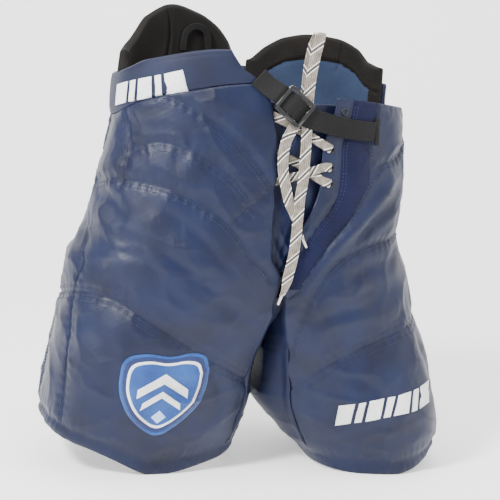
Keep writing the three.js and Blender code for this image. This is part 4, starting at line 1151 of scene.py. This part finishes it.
def front_panel(name, span_x, span_z, depth, thick, size, finish):
    """A cloth panel on the front, depth(x, z) mm below the outer face, thick mm through."""
    bm = start()
    verts, a, b = lay_grid(bm, *size)
    x, z = mix(*span_x, a), mix(*span_z, b)
    mark_cloth(bm, verts, x, z)
    near = np.minimum.reduce([x - span_x[0], span_x[1] - x, z - span_z[0], span_z[1] - z])
    y = front_y(x, z) + depth(x, z) + edge_drop(near, min(thick, 2.0)) * 0.5
    set_points(verts, place(np.stack([x, y, z], axis=1)))
    made = bmesh.ops.extrude_face_region(bm, geom=bm.faces[:], use_keep_orig=True)
    copies = [g for g in made["geom"] if isinstance(g, bmesh.types.BMVert)]
    bmesh.ops.translate(bm, verts=copies, vec=(0, thick * MM, 0))
    piece = finish_mesh(name, bm, [finish])
    print(f"{name}: {len(piece.data.polygons)} faces")
    return piece


def gusset_depth(x, z):
    """Folds fan out from the laced edges and hang between them; the sides rise to the shell."""
    centre = smooth(1 - np.abs(x - 4) / 90)
    fan = np.abs(noise((x + 0.55 * z) / 15 + 3, (z - 0.5 * x) / 60))
    hang = np.abs(noise((x - 0.35 * z) / 11 + 30, z / 70 + 4))
    folds = 3.6 * (0.6 - fan) + 2.2 * (0.5 - hang)
    sides = smooth((np.minimum(x + 88, 94 - x)) / 14)
    return mix(4.3, 11.2, sides) - np.clip(folds, -2.5, 2.6) * centre * sides


gusset = front_panel("fly_gusset_cloth", (-88, 94), (268, 478), gusset_depth, 1.2, (150, 160), gusset_cloth)
strip = front_panel(
    "right_eyelet_tape", (-62, -30), (368, 496), lambda x, z: FLAP_TAPE_DEPTH + 0 * x, 2.0, (20, 60), nylon
)
for piece, old in ((gusset, "fly_gusset"), (strip, "right_eyelet_strip")):
    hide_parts(old)
    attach(piece, "upper")

# %% Crotch saddle
def saddle_strip():
    bm = start()
    verts, a, b = lay_grid(bm, 12, 80)
    angle = np.radians(mix(-60, 60, b))
    radius = SWING_RADIUS - 0.6
    x = CENTRE_X + (a - 0.5) * 24
    pucker = 0.5 * np.sin(angle * 60) * np.abs(a - 0.5)
    y = PIVOT_Y + (radius - pucker) * np.sin(angle)
    z = PIVOT_Z - (radius - pucker) * np.cos(angle)
    mark_cloth(bm, verts, x, angle * radius)
    set_points(verts, place(np.stack([x, y, z], axis=1)))
    bmesh.ops.solidify(bm, geom=bm.faces[:], thickness=2.4 * MM)
    piece = finish_mesh("crotch_saddle_cloth", bm, [nylon])
    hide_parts("crotch_gusset")
    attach(piece, "upper")


saddle_strip()

# %% Lace crossings
OVER, NEAR_GUSSET, DEEP = -2.9, 4.0, 5.9
CROSSINGS = {
    "lace_cross_1": [
        (56, 424, OVER), (46, 429, OVER), (38, 433, OVER), (20, 443, 1), (2, 452, NEAR_GUSSET),
        (-22, 462, NEAR_GUSSET),
    ],
    "lace_cross_2": [
        (57, 402, OVER), (47, 402, OVER), (38, 399, OVER), (20, 392, 0.6), (0, 386, NEAR_GUSSET),
        (-24, 380, NEAR_GUSSET),
    ],
    "lace_cross_3": [
        (57, 382, OVER), (49, 384, OVER), (42, 387, OVER + 0.8), (34, 392, 1.8), (22, 401, DEEP),
        (0, 411, DEEP), (-24, 419, DEEP),
    ],
}
for name, route in CROSSINGS.items():
    path = catmull(on_front(route), 3.0)
    crossing = sweep(name + "_woven", path, (0, 0, 1), 11.0, LACE_THICK, [lace_cloth], square=0.45)
    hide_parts(name)
    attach(crossing, "upper")

# %% Eyelets
LEFT_EYELETS = [(74, 470.5), (56, 424), (57, 402), (57, 382)]
RIGHT_EYELETS = [(-46, 482), (-44, 448), (-44, 414), (-44, 382)]
RIM_PROFILE = [(2.6, -2.4), (2.9, 0.3), (3.4, 1.1), (4.2, 1.4), (5.0, 1.1), (5.5, 0.3), (5.4, -0.3)]


def eyelet(name, x, z, depth):
    """A rolled rim: its section is spun round and stood on the cloth."""
    bm = start()
    ring = [bm.verts.new((r * MM, 0, h * MM)) for r, h in RIM_PROFILE]
    edges = [bm.edges.new(pair) for pair in zip(ring[:-1], ring[1:])]
    bmesh.ops.spin(
        bm,
        geom=ring + edges,
        cent=(0, 0, 0),
        axis=(0, 0, 1),
        angle=2 * math.pi,
        steps=28,
        use_merge=True,
    )
    slope_x = (front_y(x + 6, z) - front_y(x - 6, z)) / 12
    slope_z = (front_y(x, z + 6) - front_y(x, z - 6)) / 12
    normal = Vector((float(slope_x), -1.0, float(slope_z))).normalized()
    turn = normal.to_track_quat("Z", "Y").to_matrix().to_4x4()
    at = Vector(place([x, float(front_y(x, z)) + depth, z])) + normal * SEAT * MM
    bmesh.ops.transform(bm, matrix=Matrix.Translation(at) @ turn, verts=bm.verts[:])
    piece = finish_mesh(name + "_rim", bm, [enamel])
    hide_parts(name)
    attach(piece, "upper")


for index, (x, z) in enumerate(LEFT_EYELETS, 1):
    eyelet(f"left_eyelet_{index}", x, z, -0.7)
for index, (x, z) in enumerate(RIGHT_EYELETS, 1):
    eyelet(f"right_eyelet_{index}", x, z, FLAP_TAPE_DEPTH)
print("eyelets:", len(LEFT_EYELETS) + len(RIGHT_EYELETS))

# %% [markdown]
# ## Belt, buckle and webbing
# The buckle is a ladder lock: a moulded frame with a bar across its middle. A short strap is
# sewn round one end, and the long strap threads over the middle bar. The frame is a flat
# grid with two faces removed, extruded, with round corners and all its edges bevelled.

# %% Buckle
BUCKLE_LONG, BUCKLE_WIDE, BUCKLE_THICK, RIM, BAR = 42.0, 37.0, 5.0, 4.5, 5.0
BUCKLE_CORNER, BUCKLE_EDGE = 7, 1.1
WEBBING_WIDE, WEBBING_THICK = 25.0, 1.8
BUCKLE_X, BUCKLE_Z, TILT = 0.0, 475.0, math.radians(-38)
ALONG = np.array([math.cos(TILT), 0.0, math.sin(TILT)])
ACROSS = np.array([-math.sin(TILT), 0.0, math.cos(TILT)])
BUCKLE_AT = np.array([BUCKLE_X, float(front_y(BUCKLE_X, BUCKLE_Z)) - 12.0, BUCKLE_Z])


def from_buckle(p, q, r):
    """Buckle coordinates (along, across, outwards) to part millimetres."""
    p, q, r = (np.asarray(v, float)[..., None] for v in (p, q, r))
    return BUCKLE_AT + p * ALONG + q * ACROSS + r * np.array([0.0, -1.0, 0.0])


def ladder_lock():
    bm = start()
    end = BUCKLE_LONG / 2
    lines_p = [-end, -end + RIM, -BAR / 2, BAR / 2, end - RIM, end]
    window = WEBBING_WIDE / 2 + 0.8
    lines_q = [-BUCKLE_WIDE / 2, -window, window, BUCKLE_WIDE / 2]
    verts, a, b = lay_grid(bm, 5, 3)
    for vert, i, j in zip(verts, np.round(a * 5).astype(int), np.round(b * 3).astype(int)):
        vert.co = (lines_p[i] * MM, lines_q[j] * MM, 0)
    middles = [(f, f.calc_center_median()) for f in bm.faces]
    holes = [f for f, at in middles if abs(at.y) < 1 * MM and 5 * MM < abs(at.x) < 15 * MM]
    bmesh.ops.delete(bm, geom=holes, context="FACES")
    made = bmesh.ops.extrude_face_region(bm, geom=bm.faces[:], use_keep_orig=True)
    lifted = [g for g in made["geom"] if isinstance(g, bmesh.types.BMVert)]
    bmesh.ops.translate(bm, verts=lifted, vec=(0, 0, BUCKLE_THICK * MM))
    bmesh.ops.recalc_face_normals(bm, faces=bm.faces[:])

    def upright_corner(e):
        p, q = e.verts
        here = (p.co + q.co) / 2
        return abs(p.co.z - q.co.z) > 1 * MM and abs(here.x) > 20 * MM and abs(here.y) > 18 * MM

    shape = dict(offset_type="OFFSET", profile=0.5, affect="EDGES", material=-1)
    corners = [e for e in bm.edges if upright_corner(e)]
    bmesh.ops.bevel(bm, geom=corners, offset=BUCKLE_CORNER * MM, segments=6, **shape)
    sharp = [e for e in bm.edges if len(e.link_faces) == 2 and e.calc_face_angle(0) > 0.6]
    bmesh.ops.bevel(bm, geom=sharp, offset=BUCKLE_EDGE * MM, segments=3, clamp_overlap=True, **shape)
    local = np.array([v.co for v in bm.verts]) / MM
    points = from_buckle(local[:, 0], local[:, 1], local[:, 2] * 0.86 + SEAT)
    set_points(bm.verts[:], place(points))
    mark_cloth(bm, bm.verts[:], local[:, 0], local[:, 1])
    piece = finish_mesh("ladder_lock_buckle", bm, [acetal])
    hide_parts("belt_buckle")
    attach(piece, "buckle")
    print("buckle faces:", len(piece.data.polygons))


ladder_lock()


# %% Straps
def buckle_route(rows):
    p, q, r = np.array(rows, float).T
    return from_buckle(p, q, r)


STRAP_Y = BUCKLE_AT[1] + 1.3


def strap(name, path, side, body, nodes):
    piece = sweep(name, path, side, WEBBING_WIDE, WEBBING_THICK, [webbing], columns=20, square=0.28)
    if nodes:
        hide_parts(*nodes)
    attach(piece, body)
    return piece


anchor_route = np.vstack(
    [
        [(-12, STRAP_Y, 484), (-18, STRAP_Y, 489)],
        on_front([(-28, 495, -7), (-36, 501, -4.2), (-44, 508, -2.6)]),
    ]
)
strap("anchor_strap_webbing", catmull(anchor_route, 1.5), ACROSS, "upper", ["belt_anchor_strap"])
belt_route = np.vstack(
    [
        [(9, STRAP_Y, 467), (20, STRAP_Y, 462), (32, STRAP_Y, 459)],
        on_front([(46, 456, -8.6), (62, 453, -6), (80, 450, -4), (100, 448, -3.2), (121, 447, -3)]),
    ]
)
strap("belt_webbing", catmull(belt_route, 1.5), (0, 0, 1), "upper", ["belt_strap"])
# The threaded part goes with the buckle: up through one window, over the bar, down the other.
thread_route = buckle_route(
    [
        (17.5, 0, 0.4), (13, 0, 0.9), (9, 0, 2.6), (5, 0, 5.0), (0, 0, 6.1), (-5, 0, 5.0), (-9, 0, 2.6),
        (-12, 0, 1.6), (-15.4, 0, 1.2),
    ]
)
strap("threaded_webbing", catmull(thread_route, 0.8), ACROSS, "buckle", [])


# %% Slot binding
binding = front_panel(
    "slot_binding_tape", (122, 130), (430, 464), lambda x, z: -2.6 + 0 * x, 2.2, (12, 40), webbing
)
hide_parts("belt_slot_binding")
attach(binding, "upper")


# %% [markdown]
# ## Crest and motif
# Real crests are satin-stitched in layers: a border, a field and a device. The crest here is a
# plain shield with a chevron, and the motif on the other leg is a row of slanted bars. Each
# layer is a flat outline filled with small faces, laid a little above the layer below.

# %% Badge layers
def rounded(outline, step):
    """A closed smooth outline through the given corners."""
    p = [(*xy, 0) for xy in outline]
    loop = catmull(p[-2:] + p + p[:2], step)
    first = np.argmin(np.linalg.norm(loop - p[0], axis=1))
    last = len(loop) - 1 - np.argmin(np.linalg.norm(loop[::-1] - p[0], axis=1))
    return loop[first:last, :2]


def stitched(name, half, centre, outlines, height, finish, body, replaces=(), on=skin, slope=0.0):
    """Fills outlines (mm across and up from the centre) with raised stitching over the cloth."""
    u_mid, z_mid = centre
    length = float(length_at(half, np.array([z_mid]))[0])
    bm = start()
    for outline in outlines:
        points = np.array(outline, float)
        before = set(bm.verts)
        ring = [bm.verts.new((p[0], p[1], 0)) for p in points]
        edges = [bm.edges.new((ring[k], ring[(k + 1) % len(ring)])) for k in range(len(ring))]
        bmesh.ops.triangle_fill(bm, use_beauty=True, use_dissolve=False, edges=edges)
        fresh = [e for e in bm.edges if e.verts[0] not in before]
        longest = max(np.ptp(points[:, 0]), np.ptp(points[:, 1]))
        # Long inner edges are halved until the fill follows the cloth.
        for _ in range(5 if longest > 40 else 3):
            long_edges = [e for e in fresh if e.is_valid and not e.is_boundary and e.calc_length() > 3.5]
            if not long_edges:
                break
            bmesh.ops.subdivide_edges(bm, edges=long_edges, cuts=1, use_grid_fill=True)
            bmesh.ops.triangulate(bm, faces=[f for f in bm.faces if f.verts[0] not in before])
            fresh = [e for e in bm.edges if e.verts[0] not in before]
    made = bmesh.ops.extrude_face_region(bm, geom=bm.faces[:], use_keep_orig=True)
    top = {g for g in made["geom"] if isinstance(g, bmesh.types.BMVert)}
    every = bm.verts[:]
    local = np.array([v.co[:2] for v in every])
    lift = np.array([height if v in top else -0.6 for v in every])
    mark_cloth(bm, every, local[:, 0] + local[:, 1] * 0.4, local[:, 1])
    u, z = u_mid + half["sign"] * local[:, 0] / length, z_mid + local[:, 1] + slope * local[:, 0]
    set_points(every, place(on(half, u, z, lift)))
    piece = finish_mesh(name, bm, [finish])
    if replaces:
        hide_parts(*replaces)
    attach(piece, body)
    return piece


def shield(scale):
    """A shield with a flat top and a point below, in mm for scale 1."""
    corners = [
        (-52, 44), (-30, 50), (0, 47), (30, 50), (52, 44), (56, 18), (48, -12), (28, -38), (0, -54),
        (-28, -38), (-48, -12), (-56, 18),
    ]
    return rounded([(x * scale * 0.93, y * scale) for x, y in corners], 2.5)


def bars(rows, slope):
    """Slanted bars: rows hold left, bottom, width and height in mm."""
    return [
        [(x, y), (x + w, y), (x + w + slope * h, y + h), (x + slope * h, y + h)] for x, y, w, h in rows
    ]


CREST = (0.195, 113)
stitched("crest_edge", right, CREST, [shield(1.04)], 1.0, blue_thread, "right_leg", ["thigh_crest"])
stitched("crest_border", right, CREST, [shield(0.96)], 1.5, dark_thread, "right_leg")
stitched("crest_outline", right, CREST, [shield(0.86)], 2.0, white_thread, "right_leg")
stitched("crest_field", right, CREST, [shield(0.79)], 2.5, blue_thread, "right_leg")
chevron = [(-30, -6), (0, 14), (30, -6), (30, 6), (0, 27), (-30, 6)]
low_chevron = [(-24, -22), (0, -5), (24, -22), (22, -12), (0, 4), (-22, -12)]
stitched("crest_chevrons", right, CREST, [chevron, low_chevron], 3.0, white_thread, "right_leg")
lozenge = [(0, -40), (9, -31), (0, -22), (-9, -31)]
stitched("crest_lozenge", right, CREST, [lozenge], 3.0, pale_thread, "right_leg")
MOTIF = (0.205, 95)
MOTIF_BARS = [
    (-74, -12, 20, 26), (-49, -12, 9, 26), (-35, -12, 20, 26), (-10, -12, 9, 26), (4, -12, 20, 26),
    (29, -12, 9, 26), (43, -12, 24, 26),
]
stitched(
    "leg_bars", left, MOTIF, bars(MOTIF_BARS, 0.35), 1.0, white_thread, "left_leg",
    ["thigh_motif"], slope=0.2,
)


def band_skin(half, u, z, lift):
    """The swollen outer face of the right waistband, lift mm above it."""
    near = np.minimum(z - seam_top(half, u), seam_top(half, u) + curve(RIGHT_BAND, u) - z)
    near = np.maximum(near, 0)
    swell = 1.5 * (1 - np.exp(-near / 12)) - edge_drop(near, 3.0) + band_shape(u, z, near)
    return surface(half, u, z, -(swell + lift))


BAND_BARS = [
    (-62, -13, 26, 24), (-31, -13, 9, 24), (-17, -13, 20, 24), (8, -13, 9, 24), (22, -13, 30, 24),
]
stitched(
    "waistband_bars", right, (0.315, 486), bars(BAND_BARS, 0.35), 1.3, white_thread, "upper",
    on=band_skin, slope=0.22,
)
print("badges done")

# %% [markdown]
# ## Guards, tail pad and small parts
# The moulded guards and the foam tail pad lie between shell and lining, so they keep the plain
# solids' form and only get their real finish.

# %% Finishes of pieces kept as packed
KEPT = {
    "right_thigh_guard": polyethylene,
    "left_thigh_guard": polyethylene,
    "tail_guard": polyethylene,
    "tail_pad": white_foam,
}
for name, finish in KEPT.items():
    if name in frame["nodes"]:
        kept = frame["nodes"][name].data
        kept.materials.clear()
        kept.materials.append(finish)
print("nodes:", ", ".join(sorted(frame["nodes"])))


# %% [markdown]
# ## Topstitching
# The seams are felled and topstitched with bonded thread, about six stitches to the inch. Each
# stitch is a small flattened bead that dips at its ends, so a row reads as thread. The rows
# bend with the cloth that they hold.

# %% Stitch rows
STITCH_PITCH, STITCH_LONG, STITCH_WIDE, STITCH_HIGH = 4.3, 3.3, 1.0, 0.8
FIRST_ROW = 3.2


def many_beads(bm, count):
    """Makes one bead, then doubles it until there are count. Layer u keeps each bead's number."""
    number = bm.verts.layers.float["u"]
    bmesh.ops.create_uvsphere(bm, u_segments=6, v_segments=4, radius=0.5)
    made = 1
    while made < count:
        take = min(made, count - made)
        verts = [v for v in bm.verts if v[number] < take]
        edges = [e for e in bm.edges if e.verts[0][number] < take]
        faces = [f for f in bm.faces if f.verts[0][number] < take]
        copied = bmesh.ops.duplicate(bm, geom=verts + edges + faces)
        for item in copied["geom"]:
            if isinstance(item, bmesh.types.BMVert):
                item[number] += made
        made += take


def stitch_rows(name, half, body):
    centre, along = [], []
    for line, _, double in half["seams"]:
        run = np.concatenate([[0], np.cumsum(np.linalg.norm(np.diff(line, axis=0), axis=1))])
        at = np.arange(STITCH_PITCH, run[-1] - 2, STITCH_PITCH)
        spots = np.stack([np.interp(at, run, line[:, 0]), np.interp(at, run, line[:, 1])], axis=1)
        ahead = unit(np.gradient(spots, axis=0))
        across = np.stack([-ahead[:, 1], ahead[:, 0]], axis=1)
        for offset in (FIRST_ROW, FIRST_ROW + double) if double else (FIRST_ROW,):
            here = spots + across * offset
            kept = here[:, 0] > 2
            centre.append(here[kept])
            along.append(ahead[kept])
    centre, along = np.vstack(centre), np.vstack(along)
    bm = start()
    many_beads(bm, len(centre))
    beads = bm.verts[:]
    number = bm.verts.layers.float["u"]
    bead = np.round([v[number] for v in beads]).astype(int)
    local = np.array([v.co for v in beads])
    centre, along = centre[bead], along[bead]
    # The sphere's poles lie along its Z, so Z becomes the stitch's length.
    reach, aside, up = local[:, 2] * STITCH_LONG, local[:, 0] * STITCH_WIDE, local[:, 1] * STITCH_HIGH
    aside_way = np.stack([-along[:, 1], along[:, 0]], axis=1)
    flat_at = centre + along * reach[:, None] + aside_way * aside[:, None]
    u = flat_at[:, 0] / length_at(half, flat_at[:, 1])
    mark_cloth(bm, beads, *flat_at.T)
    set_points(beads, place(skin(half, u, flat_at[:, 1], up + 0.15)))
    piece = finish_mesh(name, bm, [thread])
    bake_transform(piece, "upper", body, BEND_TOP, BEND_FOOT)
    print(f"{name}: {len(piece.data.polygons) // 24} stitches")


stitch_rows("right_topstitching", right, "right_leg")
stitch_rows("left_topstitching", left, "left_leg")


# %% [markdown]
# ## Floor, backdrop and light
# A pale sweep runs from the floor up behind the pants. Two large soft lamps and a bright
# surround give studio light with gentle highlights on the nylon.

# %% Stage and lights
def stage_sweep():
    bm = start()
    verts, a, b = lay_grid(bm, 2, 40)
    run = b * 6.0
    bend = np.clip((run - 3.2) / 1.4, 0, 1) * math.pi / 2
    radius = 1.4 / (math.pi / 2)
    y = np.where(run < 3.2, run, 3.2 + radius * np.sin(bend))
    z = np.where(run < 3.2, 0, radius * (1 - np.cos(bend)) + np.maximum(run - 4.6, 0))
    away = Vector((-back.x, -back.y, 0)).normalized()
    beside = Vector((away.y, -away.x, 0))
    for vert, side, fwd, high in zip(verts, a, y, z):
        at = away * (float(fwd) - 2.2) + beside * (float(side) - 0.5) * 8
        vert.co = (at.x, at.y, float(high) - 0.0005)
    glow = dict(Emission_Color=(1, 1, 1, 1), Emission_Strength=0.45)
    paper, tree, shader = material("matt white studio paper", 0.9, **glow)
    place_node = node(tree, "ShaderNodeTexCoord").outputs["Object"]
    grain = node(tree, "ShaderNodeTexNoise", {"Scale": noise_scale(2.0)}, Vector=place_node)
    tone = two_tones(tree, grain.outputs["Fac"], "#f4f4f4", "#ffffff")
    tree.links.new(shader.inputs["Base Color"], tone)
    made = finish_mesh("studio_sweep", bm, [paper])


def lamp(name, place_at, size, watts, colour=(1, 1, 1)):
    data = bpy.data.lights.new(name, "AREA")
    data.shape, data.size, data.energy, data.color = "DISK", size, watts, colour
    made = bpy.data.objects.new(name, data)
    made.location = place_at
    made.rotation_mode = "QUATERNION"
    made.rotation_quaternion = (Vector(place_at) - VIEW_CENTRE).to_track_quat("Z", "Y")
    bpy.context.scene.collection.objects.link(made)


stage_sweep()
lamp("key", (-1.7, -1.1, 1.9), 0.5, 130)
lamp("fill", (1.6, -1.4, 0.9), 1.2, 14)
lamp("top", (0.1, -0.2, 2.2), 1.2, 30)
world = bpy.data.worlds.new("studio")
world.use_nodes = True
world.node_tree.nodes["Background"].inputs["Color"].default_value = (1, 1, 1, 1)
world.node_tree.nodes["Background"].inputs["Strength"].default_value = 1.1
bpy.context.scene.world = world
